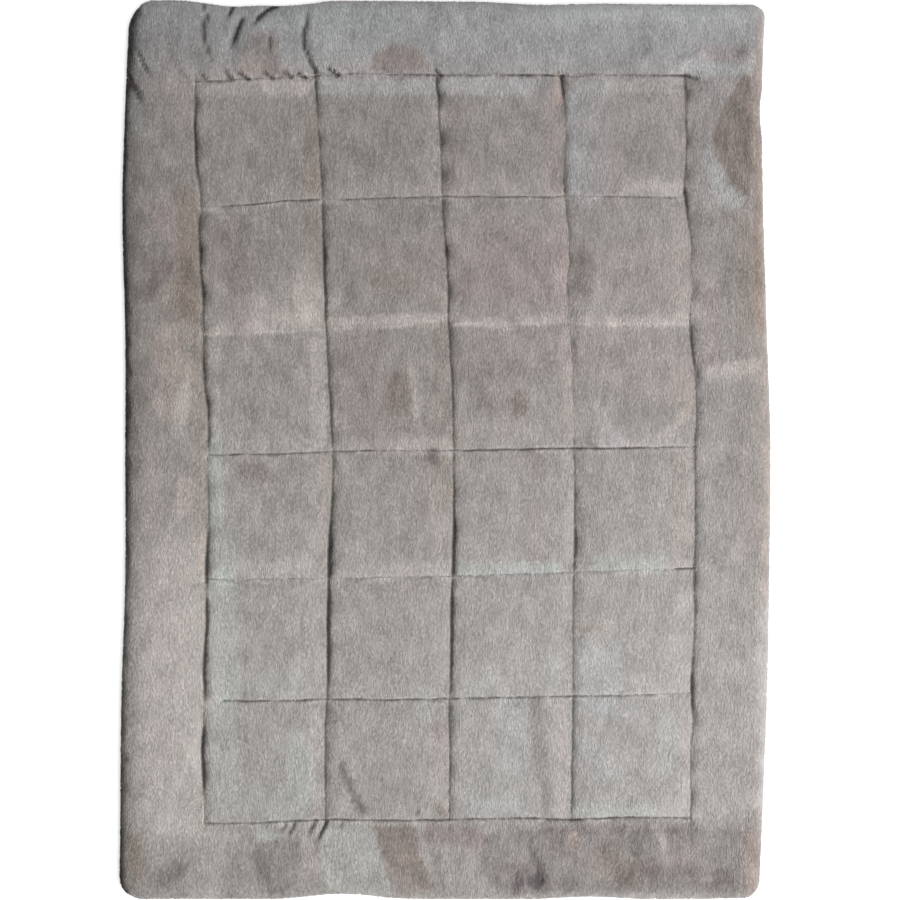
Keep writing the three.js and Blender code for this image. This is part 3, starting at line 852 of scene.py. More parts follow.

# Places of another outline: kind, how strong, softness of the edge, and the corners of the outline.
# Placed and fitted in the same way.
napPatches = [
    # head border
    ('brown', 1, 16, [(-576, 1050), (-570, 1109), (-551, 1156), (-517, 1179), (-478, 1170),
     (-469, 1123), (-464, 1078), (-452, 1050)]),
    ('pink', 0.2, 8, [(-464, 1190), (-433, 1196), (-416, 1151), (-410, 1106), (-393, 1061), (-447, 1061),
     (-464, 1123)]),
    ('dark', 0.3, 22, [(-770, 1173), (-691, 1179), (-669, 1137), (-680, 1100), (-733, 1089), (-770, 1123)]),
    ('brown', 1.3, 22, [(-219, 1064), (-197, 1114), (-135, 1137), (-70, 1117), (-53, 1064)]),
    ('dark', 0.2, 16, [(444, 1089), (466, 1123), (495, 1139), (534, 1123), (528, 1089)]),
    ('dark', 1, 8, [(554, 1106), (556, 1162), (570, 1162), (573, 1106)]),
    ('brown', 0.4, 8, [(722, 1123), (767, 1137), (840, 1139), (849, 1117), (826, 1094), (747, 1089)]),
    ('green', 0.9, 8, [(680, 1050), (686, 1078), (821, 1078), (849, 1094), (854, 1117), (865, 1109),
     (860, 1072), (832, 1050)]),
    # right border
    ('brown', 1.1, 6, [(835, 1055), (806, 1010), (781, 968), (756, 917), (745, 878), (756, 833),
     (778, 791), (804, 746), (835, 712), (854, 729), (860, 842), (860, 982), (849, 1044)]),
    ('silver', 0.7, 10, [(745, 799), (767, 797), (795, 740), (832, 710), (829, 684), (759, 684), (742, 729)]),
    ('dark', 0.3, 14, [(677, 1038), (725, 1038), (731, 954), (725, 842), (731, 743), (680, 743)]),
    ('brown', 0.5, 6, [(863, 1213), (885, 1201), (885, 926), (882, 729), (888, 561), (891, 336),
     (874, 336), (865, 561), (860, 729), (865, 926)]),
    # left border
    ('beige', 0.4, 16, [(-818, 1179), (-792, 1179), (-770, 1123), (-736, 1055), (-714, 982), (-719, 898),
     (-753, 903), (-776, 1010), (-804, 1094)]),
    # foot border, from the left
    ('green', 1, 6, [(-534, -1064), (-475, -1061), (-466, -1092), (-528, -1097)]),
    ('pale', 0.6, 10, [(-677, -1069), (-590, -1064), (-579, -1092), (-613, -1103), (-658, -1092)]),
    ('dark', 0.8, 10, [(-517, -1092), (-410, -1086), (-402, -1125), (-419, -1210), (-452, -1246),
     (-489, -1246), (-517, -1198), (-551, -1131)]),
    ('olive', 0.7, 6, [(-540, -1100), (-517, -1097), (-497, -1154), (-483, -1210), (-511, -1215),
     (-531, -1159)]),
    ('green', 0.9, 5, [(-343, -1058), (-202, -1052), (-149, -1243), (-242, -1246), (-326, -1232),
     (-348, -1159), (-360, -1103)]),
    ('brown', 1.2, 6, [(-202, -1052), (-84, -1052), (-73, -1125), (-65, -1159), (-115, -1170),
     (-169, -1170)]),
    ('brown', 0.8, 10, [(-169, -1170), (-115, -1170), (-65, -1159), (-28, -1224), (-107, -1246),
     (-149, -1243)]),
    ('dark', 0.4, 7, [(185, -1187), (205, -1176), (216, -1204), (211, -1232), (185, -1229)]),
    ('dark', 0.8, 7, [(230, -1187), (259, -1182), (275, -1210), (264, -1232), (233, -1227)]),
    ('brown', 0.2, 10, [(278, -1050), (351, -1050), (362, -1125), (320, -1148), (287, -1131), (267, -1092)]),
    ('purple', 0.3, 12, [(362, -1050), (511, -1050), (523, -1125), (466, -1114), (416, -1120), (377, -1131)]),
    ('rosy', 0.6, 10, [(416, -1120), (466, -1114), (481, -1154), (472, -1198), (424, -1198), (405, -1159)]),
    ('purple', 0.3, 8, [(466, -1201), (523, -1193), (528, -1235), (472, -1243)]),
    ('dark', 0.5, 10, [(523, -1061), (573, -1058), (596, -1114), (587, -1154), (545, -1159), (517, -1125)]),
    ('dark', 0.4, 8, [(562, -1176), (593, -1170), (599, -1227), (568, -1238)]),
    ('pink', 0.6, 12, [(613, -1052), (686, -1052), (697, -1125), (686, -1159), (618, -1170), (607, -1114)]),
    ('dark', 0.7, 12, [(725, -1176), (792, -1170), (801, -1210), (736, -1229)]),
]

# The rest of the nap's look: pressed up beside the seams, with painted shade and light there, changing over
# the quilt, and with painted shade at its rims. A shift is of its light, its warmth and its pink.
napAndShade = {
    'waver': (26, 9, 0.6),  # the edge of a mark wavers over these two lengths, and so much over the second
    'ragged': 0.2,  # how far it wavers, as a share of the edge's softness
    'raggedUpTo': 16,  # a softer edge wavers no further
    'patchy': (0.75, 0.45, 90),  # how strong beside the seams, how much that varies, and over what length
    'patchyWithin': (0.1, 1.5),
    # each a shift and its reach
    'leftOfSeam': (0, 0.45, -0.1, 26),
    'closeLeft': (0, -0.1, -0.35, 10),
    # these two: painted shade on the right of each seam along, with a shift of hue
    'rightOfSeam': (-0.17, 0.12, -0.1, 46),
    'closeRight': (-0.25, 0.15, -0.4, 24),
    # these two: painted light on the lips above and below each seam across
    'aboveSeam': (0.12, -0.05, 0, 18),
    'belowSeam': (0.42, 0, 0, 15),
    'besideGape': (0.42, 12, 18),  # painted shade to its right: how much, its reach, and how much further where wide
    'besideGapeOpens': (0.05, 0.5),  # from which gape to which
    # (place, light, warmth, pink) from the foot to the head, and from left to right, fitted to the
    # photograph by the same program and rounded by hand
    # their light is painted light and shade, darker towards the head and at the left; their warmth and pink
    # are the nap's own colour
    'alongQuilt': [
        (-1260, -0.15, 0.1, -0.15), (-1150, 0, 0, 0), (-1030, 0, 0, -0.3), (-860, 0.03, -0.05, -0.05),
        (-600, 0.06, -0.05, -0.05), (-345, 0.01, 0, 0), (-100, -0.03, 0.15, -0.05), (170, -0.1, 0.2, 0),
        (345, -0.1, 0.25, 0), (520, -0.2, 0.35, 0), (690, -0.15, 0.2, 0.05), (860, -0.2, 0.2, 0.05),
        (1030, -0.15, -0.05, 0.3), (1150, -0.15, -0.55, 0.15), (1260, -0.1, -0.9, 0.1),
    ],
    'acrossQuilt': [
        (-905, -0.2, 0.5, -0.6), (-800, -0.1, 0, 0.2), (-690, 0, 0.15, -0.2), (-520, -0.03, -0.15, 0),
        (-345, 0, 0, -0.1), (-170, -0.06, -0.05, 0.1), (0, 0, 0, -0.05), (170, 0.02, -0.2, 0.25),
        (345, 0.04, -0.2, 0), (520, 0.06, -0.2, 0.1), (690, 0.1, -0.2, 0.05), (800, 0.02, -0.25, 0.1),
        (905, 0.03, 0.45, 0),
    ],
    'warmRim': (0.5, 40),
    # painted shade at the rims, most at the left rim, which turns away from the light: how dark at the rim,
    # its reach, how dark softly, and the reach of that
    'rims': {'left': (0.62, 24, 0.2, 72), 'head': (0.12, 7, -0.1, 60), 'foot': (0, 9, -0.04, 20)},
    'plainRim': (0.6, 18),  # how far the hues fade at the edge, and its reach
    'creaseShade': 0.03,  # painted shade for each millimetre of a crease's depth
    'mottle': (0.035, 60),  # how much, and over what length
    'streaks': (0.035, 17, 0.16, 24),  # how much, how far apart, how drawn out, and of how many waves
}


def toOutline(x, y, outline):
    # distance to a closed outline, below zero inside it
    closed = outline + outline[:1]
    inside = np.zeros(x.shape, dtype=bool)
    for (startX, startY), (endX, endY) in zip(closed, closed[1:]):
        if startY != endY:
            crossing = startX + (endX - startX) * (y - startY) / (endY - startY)
            inside ^= ((startY > y) != (endY > y)) & (x < crossing)
    distance, _ = toRun(x, y, closed)
    return np.where(inside, -distance, distance)


def mottleAt(planX, planY):
    amount, length = napAndShade['mottle']
    return amount * softNoise(planX, planY, length, seed=44)


def napAndShadeAt(x, y, planX, planY):
    # light, warmth and pink of the nap at each place; its light also holds painted light and shade
    total = np.zeros((3, len(x)))
    length, fineLength, fine = napAndShade['waver']
    waver = softNoise(planX, planY, length, seed=41) + fine * softNoise(planX, planY, fineLength, seed=42)
    runs = [(kind, strength, soft, run, reach) for kind, strength, reach, soft, run in napMarks]
    outlines = [(*patch, None) for patch in napPatches]
    for kind, strength, soft, corners, reach in runs + outlines:
        near = withinReach(planX, planY, corners, soft + (reach or 0))
        if not near.any():
            continue
        if reach is None:
            distance = toOutline(planX[near], planY[near], corners)
        else:
            distance = toRun(planX[near], planY[near], corners)[0] - reach
        distance = distance + waver[near] * min(soft, napAndShade['raggedUpTo']) * napAndShade['ragged']
        share = strength * (1 - step(distance, -soft / 2, soft / 2))
        total[:, near] += np.array(napKinds[kind])[:, None] * share

    toRight, alongGape, above, _ = toSeams(x, y)
    mean, varies, length = napAndShade['patchy']
    patchy = np.clip(mean + varies * softNoise(planX, planY, length, seed=43), *napAndShade['patchyWithin'])
    # beside the seams: painted shade to the right of those along, painted light on the lips of those across,
    # and hue shifts
    besides = [
        ('leftOfSeam', -toRight), ('closeLeft', -toRight), ('rightOfSeam', toRight), ('closeRight', toRight),
        ('belowSeam', -above), ('aboveSeam', above),
    ]
    for place, distance in besides:
        *shift, reach = napAndShade[place]
        total += np.array(shift)[:, None] * (hump(distance, reach) * patchy * (distance > 0))
    # painted shade to the right of a gaping seam
    dark, reach, wider = napAndShade['besideGape']
    opening = step(alongGape, *napAndShade['besideGapeOpens'])
    total[0] -= dark * opening * hump(toRight, reach + wider * alongGape) * (toRight > 0)

    # painted light and shade over the quilt, darker towards the head and at the left, with the nap's own hue
    for places, plan in ((napAndShade['alongQuilt'], planY), (napAndShade['acrossQuilt'], planX)):
        at, *shifts = zip(*places)
        total += np.array([np.interp(plan, at, shift) for shift in shifts])
    warm, reach = napAndShade['warmRim']
    total[1] += warm * hump(halfWidth - abs(x), reach)
    # painted shade at the rims
    toRims = {'left': halfWidth + x, 'head': halfLength - y, 'foot': halfLength + y}
    for side, (dark, reach, soft, softReach) in napAndShade['rims'].items():
        wide = 1 + (side == 'left') * atHead(y)
        atRim = dark * hump(toRims[side], reach * wide) * overRim(x, y)
        total[0] -= atRim + soft * hump(toRims[side], softReach)
    total[0] += mottleAt(planX, planY)
    amount, apart, drawnOut, waves = napAndShade['streaks']
    total[0] += amount * softNoise(planX, planY * drawnOut, apart, seed=45, waves=waves)
    # painted shade in the creases, by their depth
    total[0] -= napAndShade['creaseShade'] * creasedBy(planX, planY)[0]
    fade, reach = napAndShade['plainRim']
    total[1:] *= 1 - fade * hump(toEdge(x, y), reach)
    return total


# How the pile lies, worked out at each point of the cloth for its tufts
pile = {
    'tuftLength': 10,
    'tuftWidth': 5.2,
    'spacing': 3.25,
    'mostPerSquareMetre': 90000,
    'lengthSpread': (0.75, 1.2),
    'widthSpread': (0.75, 1.25),
    'lean': 0.27,  # how far the tufts stand up from the cloth: 0 lies flat, 1 stands straight
    'spin': 0.3,  # how far each tuft turns about itself, from lying on its ridge with a flat side up
    'comb': (0.08, 120),  # how far the pile is combed to either side, and over what length
    'napTurn': (0.25, 0.5),  # how far the nap's light turns it, and the most light that counts
    'outwards': (0.5, 34),  # how far it turns outwards over the edge, and from where on
    'baseSink': 0.6,
    'opens': (0.04, 0.16),  # from which gape to which the pile parts over a seam
    # how far the cloth is bare beside an open seam, and how much further by the gape
    'bare': {'left': (0.4, 0.4), 'right': (0.35, 7), 'above': (0.6, 1), 'below': (0.45, 0.6)},
    'leastBare': 0.05,
    'bareEdge': (0.6, 1.4, 0.1),  # the pile sets in between these shares of that, and so far past the second
    'short': (0.45, 9),  # how much shorter beside an open seam, and its reach
    'overSeam': (1.25, 24, 0.02),  # how long over a closed seam, its reach, and the gape that is still closed
    'shortest': 0.25,  # above an open seam across
    'shortAtRim': (0.4, 14),  # how much shorter, and its reach
    'underRim': (0.7, 6),  # how dense on the underside, and how near the edge
    'grows': (3, 4.5),  # from which height over the floor to which the pile sets in
    'uprightBySeam': 0.5,
    'clearance': 3,
    'longest': 1.3,
    'droop': (-0.3, 0.9),  # how far down a tuft may point, from near the floor to high above it
    'showsAt': 0.6,  # the rest, near the root, lies under other tufts
    'seed': 7,
}


def plannedPlaces(points):
    # back from the mesh to the layout's millimetres
    return (points[:, 0] + outlineMiddle[0]) / mm, (points[:, 1] + outlineMiddle[1]) / mm


def layPile(cloth):
    mesh = cloth.data
    evenX, evenY = storedNumbers(mesh, 'evenX'), storedNumbers(mesh, 'evenY')
    points = numbersOf(mesh.vertices, 'co', 3)
    planX, planY = plannedPlaces(points)
    height = points[:, 2] / mm
    normals = numbersOf(mesh.vertex_normals, 'vector', 3)
    onTop = np.arange(len(points)) < topPoints
    offAlong, alongGape, offAcross, acrossGape = toSeams(evenX, evenY)
    edge = toEdge(evenX, evenY)

    covered, length, upright = np.ones(len(points)), np.ones(len(points)), np.zeros(len(points))
    near, far, past = pile['bareEdge']
    shorter, reach = pile['short']
    longer, overReach, stillClosed = pile['overSeam']
    for distance, gape, before, after in (
            (offAlong, alongGape, 'left', 'right'), (offAcross, acrossGape, 'below', 'above')):
        sides = [np.array(pile['bare'][side])[:, None] for side in (before, after)]
        bare, more = np.where(distance < 0, *sides)
        opened = step(gape, *pile['opens'])
        width = (bare + more * gape) * opened
        parted = step(abs(distance), width * near, width * far + past)
        covered *= np.where(width > pile['leastBare'], parted, 1)
        length *= 1 - shorter * hump(abs(distance), reach) * opened
        length *= 1 + (longer - 1) * hump(abs(distance), overReach) * (gape < stillClosed)
        upright = np.maximum(upright, hump(abs(distance), reach) * opened)
    # above an open seam the pile ends before it
    toSeam = np.where(offAcross > 0, offAcross, np.inf)
    room = np.clip(toSeam / pile['tuftLength'], pile['shortest'], 1)
    length = np.minimum(length, 1 - step(acrossGape, *pile['opens']) * (1 - room))
    shorter, reach = pile['shortAtRim']
    length *= 1 - shorter * hump(edge, reach)
    dense, nearEdge = pile['underRim']
    density = np.where(onTop, covered, dense * (edge < nearEdge)) * step(height, *pile['grows'])
    storeNumbers(mesh, 'pileDensity', density)
    storeNumbers(mesh, 'pileLength', length)

    light = napAndShadeAt(evenX, evenY, planX, planY)[0]
    aside, combLength = pile['comb']
    napTurn, most = pile['napTurn']
    turn = aside * softNoise(planX, planY, combLength, seed=21) + napTurn * np.clip(light, -most, most)
    comb = np.stack([np.sin(turn), -np.cos(turn), np.zeros_like(turn)], axis=-1)
    outwards = np.stack([normals[:, 0], normals[:, 1], np.zeros_like(turn)], axis=-1)
    share, reach = pile['outwards']
    comb += outwards * (share * hump(edge, reach))[:, None]
    comb -= normals * (comb * normals).sum(axis=1)[:, None]
    comb /= np.linalg.norm(comb, axis=1)[:, None]
    lean = (pile['lean'] + pile['uprightBySeam'] * upright)[:, None]
    lay = comb * np.sqrt(1 - lean ** 2) + normals * lean
    # near the floor no tuft points below it
    room = (height - pile['clearance']) / (pile['tuftLength'] * pile['longest'])
    lay[:, 2] = np.maximum(lay[:, 2], -np.clip(room, *pile['droop']))
    flatLength = np.maximum(np.hypot(lay[:, 0], lay[:, 1]), tiny)
    lay[:, :2] *= (np.sqrt(1 - lay[:, 2] ** 2) / flatLength)[:, None]
    storeVectors(mesh, 'lay', lay)


layPile(cloth)


def finishNapAndShade(mesh, pointsPerTuft=1):
    # the nap's look, with its painted light and shade, and the painted shade of seams, creases and rims at
    # each point of the cloth, or at each tuft, read where most of the tuft shows
    places = numbersOf(mesh.vertices, 'co', 3).reshape(-1, pointsPerTuft, 3)
    roots, tips = places[:, 0], places[:, -1]
    planX, planY = plannedPlaces(roots + (tips - roots) * pile['showsAt'])
    rootX, rootY = plannedPlaces(roots)
    evenX, evenY = (storedNumbers(mesh, name)[::pointsPerTuft] for name in ('evenX', 'evenY'))
    evenX, evenY = evenX + planX - rootX, evenY + planY - rootY
    look = napAndShadeAt(evenX, evenY, planX, planY).T
    onCloth = pointsPerTuft == 1
    # painted shade in the seams, at the rims and in the creases
    paintedShade = seamShade(evenX, evenY, 'ground' if onCloth else 'pile')
    paintedShade = np.clip(np.maximum(paintedShade, creasedBy(planX, planY)[1]), 0, 1)
    if onCloth:  # the underside is plain
        look[topPoints:] = 0
        look[topPoints:, 0] = mottleAt(planX[topPoints:], planY[topPoints:])
        paintedShade[topPoints:] = 0
    storeVectors(mesh, 'napAndShade', np.repeat(look, pointsPerTuft, axis=0))
    storeNumbers(mesh, 'paintedShade', np.repeat(paintedShade, pointsPerTuft))


# How each piece is spread out on its own map
spreadOut = {
    'margin': 0.005,
    'rim': 1.03,  # the cloth's rim lies this far out, round its top
    'clothWidth': 2.08,  # of the top's half of the map, in half widths of the quilt
}


def storeMap(mesh, flat):
    mesh.uv_layers.new(name='OFBake').data.foreach_set('uv', flat.astype(np.float32).ravel())


def mapFlat(mesh):
    # spread out flat as seen from above
    places = numbersOf(mesh.vertices, 'co', 3)[:, :2]
    places = places - places.min(axis=0)
    corners = numbersOf(mesh.loops, 'vertex_index', kind=np.int32)
    margin = spreadOut['margin']
    storeMap(mesh, places[corners] / places.max() * (1 - 2 * margin) + margin)


def mapCloth(mesh):
    # the top on the left of the map with the rim round it, and the underside on the right
    corners = numbersOf(mesh.loops, 'vertex_index', kind=np.int32)
    sides = numbersOf(mesh.polygons, 'loop_total', kind=np.int32)
    face = np.repeat(np.arange(len(sides)), sides)
    onTop = corners < topPoints
    reachesTop = np.bincount(face, weights=onTop) > 0
    even = [storedNumbers(mesh, 'evenX') / halfWidth, storedNumbers(mesh, 'evenY') / halfLength]
    flat = np.stack(even, axis=-1)[corners]
    flat[reachesTop[face] & ~onTop] *= spreadOut['rim']
    flat = flat / spreadOut['clothWidth'] + 0.5
    flat[:, 0] = (flat[:, 0] + ~reachesTop[face]) / 2
    storeMap(mesh, flat)


def clearHelpers(mesh):
    for name in ('evenX', 'evenY', 'pileDensity', 'pileLength', 'lay'):
        if name in mesh.attributes:
            mesh.attributes.remove(mesh.attributes[name])


finishNapAndShade(cloth.data)
mapCloth(cloth.data)
print("pile laid out")


def addNode(tree, kind, inputs=None, **settings):
    # a node with its settings, and its inputs linked or set
    node = tree.nodes.new(kind)
    for name, value in settings.items():
        setattr(node, name, value)
    for name, value in (inputs or {}).items():
        if isinstance(value, bpy.types.NodeSocket):
            tree.links.new(value, node.inputs[name])
        else:
            node.inputs[name].default_value = value
    return node


def newGroup(name, kind, inputs, outputs):
    # a node group, the sockets that it is given and those that it puts out
    tree = bpy.data.node_groups.new(name, kind)
    for way, sockets in (('INPUT', inputs), ('OUTPUT', outputs)):
        for socket, value in sockets.items():
            tree.interface.new_socket(socket, in_out=way, socket_type='NodeSocket' + value)
    return tree, addNode(tree, 'NodeGroupInput').outputs, addNode(tree, 'NodeGroupOutput').inputs


def worked(tree, operation, first, second, kind='ShaderNodeMath'):
    return addNode(tree, kind, {0: first, 1: second}, operation=operation).outputs[0]


def named(tree, name, kind='FLOAT'):
    node = addNode(tree, 'GeometryNodeInputNamedAttribute', {'Name': name}, data_type=kind)
    return node.outputs['Attribute']


def randomBetween(tree, low, high, seed):
    inputs = {'Min': low, 'Max': high, 'Seed': seed}
    return addNode(tree, 'FunctionNodeRandomValue', inputs, data_type='FLOAT').outputs['Value']


def laidAlong(tree, attribute):
    # the turn that lays a thing's length along a stored direction
    way = named(tree, attribute, 'FLOAT_VECTOR')
    return addNode(tree, 'FunctionNodeAlignRotationToVector', {'Vector': way}, axis='Z').outputs[0]


def plantThings(tree, points, thing, turn, scale, smooth):
    # the thing at every point, made real
    shape = addNode(tree, 'GeometryNodeObjectInfo', {'Object': thing}).outputs['Geometry']
    plant = addNode(tree, 'GeometryNodeInstanceOnPoints', {
        'Points': points, 'Instance': shape, 'Rotation': turn, 'Scale': scale})
    real = addNode(tree, 'GeometryNodeRealizeInstances', {0: plant.outputs[0]}).outputs[0]
    return addNode(tree, 'GeometryNodeSetShadeSmooth', {'Geometry': real, 'Shade Smooth': smooth}).outputs[0]


def finishPiece(piece, material):
    piece.select_set(False)
    piece.data.materials.clear()
    piece.data.materials.append(material)
    countTriangles(piece)


def makeTuft():
    # one lock of pile: three sides, a broad root and a point
    bpy.ops.mesh.primitive_cone_add(
        vertices=3, radius1=pile['tuftWidth'] / math.sqrt(3) * mm, depth=pile['tuftLength'] * mm,
        location=(0, 0, (pile['tuftLength'] / 2 - pile['baseSink']) * mm))
    bpy.ops.object.transform_apply(location=True)
    tuft = bpy.context.object
    tuft.name = 'tuft'
    heights = numbersOf(tuft.data.vertices, 'co', 3)[:, 2]
    storeNumbers(tuft.data, 'toTip', heights > 0)
    tuft.select_set(False)
    return tuft


def pileTree(tuft):
    tree, given, put = newGroup(
        'pileOnCloth', 'GeometryNodeTree',
        {'Geometry': 'Geometry', 'toRight': 'Float', 'toHead': 'Float'}, {'Geometry': 'Geometry'})
    scatter = addNode(tree, 'GeometryNodeDistributePointsOnFaces', {
        'Mesh': given['Geometry'],
        'Distance Min': pile['spacing'] * mm,
        'Density Max': pile['mostPerSquareMetre'],
        'Density Factor': named(tree, 'pileDensity'),
        'Seed': pile['seed'],
    }, distribute_method='POISSON')

    # only one quarter of the cloth, so that no piece of the pile is too large
    position = addNode(tree, 'GeometryNodeInputPosition').outputs[0]
    place = addNode(tree, 'ShaderNodeSeparateXYZ', {0: position}).outputs
    outside = [
        worked(tree, 'LESS_THAN', worked(tree, 'MULTIPLY', place[axis], given[name]), 0)
        for axis, name in (('X', 'toRight'), ('Y', 'toHead'))]
    quarter = addNode(tree, 'GeometryNodeDeleteGeometry', {
        'Geometry': scatter.outputs['Points'],
        'Selection': worked(tree, 'MAXIMUM', *outside),
    }, domain='POINT')
    toned = addNode(tree, 'GeometryNodeStoreNamedAttribute', {
        'Geometry': quarter.outputs[0],
        'Name': 'tuftTone',
        'Value': randomBetween(tree, 0, 1, 31),
    }, data_type='FLOAT', domain='POINT')

    angle = randomBetween(tree, math.pi - pile['spin'], math.pi + pile['spin'], 32)
    spin = addNode(tree, 'FunctionNodeAxisAngleToRotation', {'Axis': (0, 0, 1), 'Angle': angle})
    turned = addNode(tree, 'FunctionNodeRotateRotation', {
        'Rotation': laidAlong(tree, 'lay'), 'Rotate By': spin.outputs[0]}, rotation_space='LOCAL')
    width = randomBetween(tree, *pile['widthSpread'], 33)
    tall = worked(tree, 'MULTIPLY', randomBetween(tree, *pile['lengthSpread'], 34), named(tree, 'pileLength'))
    size = addNode(tree, 'ShaderNodeCombineXYZ', {'X': width, 'Y': width, 'Z': tall})
    planted = plantThings(
        tree, toned.outputs['Geometry'], tuft, turned.outputs[0], size.outputs[0], smooth=False)
    tree.links.new(planted, put['Geometry'])
    return tree


def makePile(cloth, material):
    tuft = makeTuft()
    pointsPerTuft = len(tuft.data.vertices)
    tree = pileTree(tuft)
    sockets = {item.name: item.identifier for item in tree.interface.items_tree if item.in_out == 'INPUT'}
    pieces = []
    for end, toHead in (('Head', 1), ('Foot', -1)):
        for side, toRight in (('Left', -1), ('Right', 1)):
            piece = bpy.data.objects.new('pile' + end + side, cloth.data.copy())
            bpy.context.collection.objects.link(piece)
            plant = piece.modifiers.new('plant', 'NODES')
            plant.node_group = tree
            plant[sockets['toRight']] = float(toRight)
            plant[sockets['toHead']] = float(toHead)
            bpy.context.view_layer.objects.active = piece
            piece.select_set(True)
            bpy.ops.object.modifier_apply(modifier='plant')
            finishPiece(piece, material)
            finishNapAndShade(piece.data, pointsPerTuft)
            mapFlat(piece.data)
            clearHelpers(piece.data)
            pieces.append(piece)
    bpy.data.objects.remove(tuft)
    return pieces


# Stitches, sunk between the pile
stitching = {
    'pitch': 4.6,
    'length': 3.5,
    'radius': 0.6,
    'above': 0.35,
    'wander': (0.5, 60),  # how far each line strays, and over what length
}


def stitchPlaces():
    # every stitch of each seam, and which way it runs
    places, ways = [], []
    stray, length = stitching['wander']
    for count, half, otherHalf, isAlong in (
            (layout['squaresAcross'], fieldHalfWidth, fieldHalfLength, True),
            (layout['squaresAlong'], fieldHalfLength, fieldHalfWidth, False)):
        for seam in range(count + 1):
            steps = np.arange(-otherHalf, otherHalf, stitching['pitch'])
            fixed = [seam * square - half]
            columns, rows = (fixed, steps) if isAlong else (steps, fixed)
            x, y = np.meshgrid(columns, rows)
            planX, planY = planOf(columns, rows)
            wander = stray * softNoise(planX, planY, length, seed=51)
            planX, planY = (planX + wander, planY) if isAlong else (planX, planY + wander)
            height = tipHeight(x, y, planX, planY) - quilt['pileDepth'] + stitching['above']
            line = np.stack([planX.ravel(), planY.ravel(), height.ravel()], axis=-1) * mm
            way = np.gradient(line, axis=0)
            places.append(line)
            ways.append(way / np.linalg.norm(way, axis=1)[:, None])
    return np.concatenate(places), np.concatenate(ways)


def makeStitches(material):
    places, ways = stitchPlaces()
    places[:, :2] -= outlineMiddle
    bpy.ops.mesh.primitive_uv_sphere_add(segments=3, ring_count=3, radius=1)
    grain = bpy.context.object
    grain.scale = (stitching['radius'] * mm, stitching['radius'] * mm, stitching['length'] / 2 * mm)
    bpy.ops.object.transform_apply(scale=True)
    grain.select_set(False)
    bpy.ops.mesh.primitive_circle_add(vertices=len(places), fill_type='NOTHING')
    piece = bpy.context.object
    piece.name = 'seamStitches'
    piece.data.vertices.foreach_set('co', places.astype(np.float32).ravel())
    storeVectors(piece.data, 'way', ways)
    tree, given, put = newGroup(
        'stitchesOnLines', 'GeometryNodeTree', {'Geometry': 'Geometry'}, {'Geometry': 'Geometry'})
    planted = plantThings(tree, given['Geometry'], grain, laidAlong(tree, 'way'), (1, 1, 1), smooth=True)
    tree.links.new(planted, put['Geometry'])
    piece.modifiers.new('stitch', 'NODES').node_group = tree
    bpy.ops.object.modifier_apply(modifier='stitch')
    bpy.data.objects.remove(grain)
    finishPiece(piece, material)
    return piece


# Finishes
finish = {
    'plushColour': (0.2303, 0.2143, 0.2035, 1),
    'groundColour': (0.214, 0.199, 0.19, 1),
    'threadColour': (0.13, 0.115, 0.105),
    'shadeColour': (0.022, 0.017, 0.014, 1),  # painted shade: the colour that the seams, creases and rims are darkened towards
    'warmShift': (0.05, -0.012, -0.045),
    'pinkShift': (0.038, -0.014, 0.004),
    # sizes across and along the nap in millimetres, and the detail of the noise
    'streaks': {'Locks': ((5, 17), 2.0), 'Hairs': ((2.4, 7), 1.0)},
    'streakRoughness': 0.6,
    'noiseRange': (0.3, 0.7),  # where most of a noise lies
    # what the noise makes of the colour and the roughness, from its low end to its high end
    'lockShades': (0.85, 1.15),
    'hairShades': (0.95, 1.05),
    'napRoughness': (0.92, 0.78),
    'threadShades': (0.75, 1.25),
    'threadRoughness': (0.5, 0.7),
    # a factor of the colour at 0, and how much more at 1
    'tuftTone': (0.96, 0.08),
    # toTip: painted shade, darker at each tuft's root, where it lies under the others
    'toTip': (0.89, 0.18),
    'twistScale': 900,
    'sheenRoughness': 0.5,
    'specular': 0.25,
    'bumpStrength': 0.4,
    'plushBump': 0.6,
    'groundBump': 2.5,
    'threadBump': 0.2,
}


vectors = 'ShaderNodeVectorMath'


def scaled(tree, shift, amount):
    return addNode(tree, vectors, {0: shift, 'Scale': amount}, operation='SCALE').outputs[0]


def ranged(tree, value, before, after):
    # the value moved from one range to another
    names = ('Value', 'From Min', 'From Max', 'To Min', 'To Max')
    return addNode(tree, 'ShaderNodeMapRange', dict(zip(names, (value, *before, *after)))).outputs['Result']


def fromNoise(tree, noise, name):
    return ranged(tree, noise, finish['noiseRange'], finish[name])


def mixed(tree, factor, first, second):
    inputs = {'Factor': factor, 'A': first, 'B': second}
    return addNode(tree, 'ShaderNodeMix', inputs, data_type='RGBA').outputs['Result']


def makeNapAndShadeColour():
    # the plush's colour, turned lighter, warmer or pinker by the way its nap lies and by painted light and
    # shade, and darkened by painted shade
    tree, given, put = newGroup(
        'napAndShadeColour', 'ShaderNodeTree',
        {'Colour': 'Color', 'NapAndShade': 'Vector', 'PaintedShade': 'Float', 'Fibre': 'Float'}, {'Colour': 'Color'})
    parts = addNode(tree, 'ShaderNodeSeparateXYZ', {0: given['NapAndShade']}).outputs
    shifts = [scaled(tree, finish['warmShift'], parts['Y']), scaled(tree, finish['pinkShift'], parts['Z'])]
    tint = worked(tree, 'ADD', worked(tree, 'ADD', *shifts, kind=vectors), (1, 1, 1), kind=vectors)
    light = worked(tree, 'MULTIPLY', worked(tree, 'ADD', parts['X'], 1), given['Fibre'])
    coloured = scaled(tree, worked(tree, 'MULTIPLY', given['Colour'], tint, kind=vectors), light)
    # darkened towards the shade colour by the painted shade
    tree.links.new(mixed(tree, given['PaintedShade'], coloured, finish['shadeColour']), put['Colour'])
    return tree


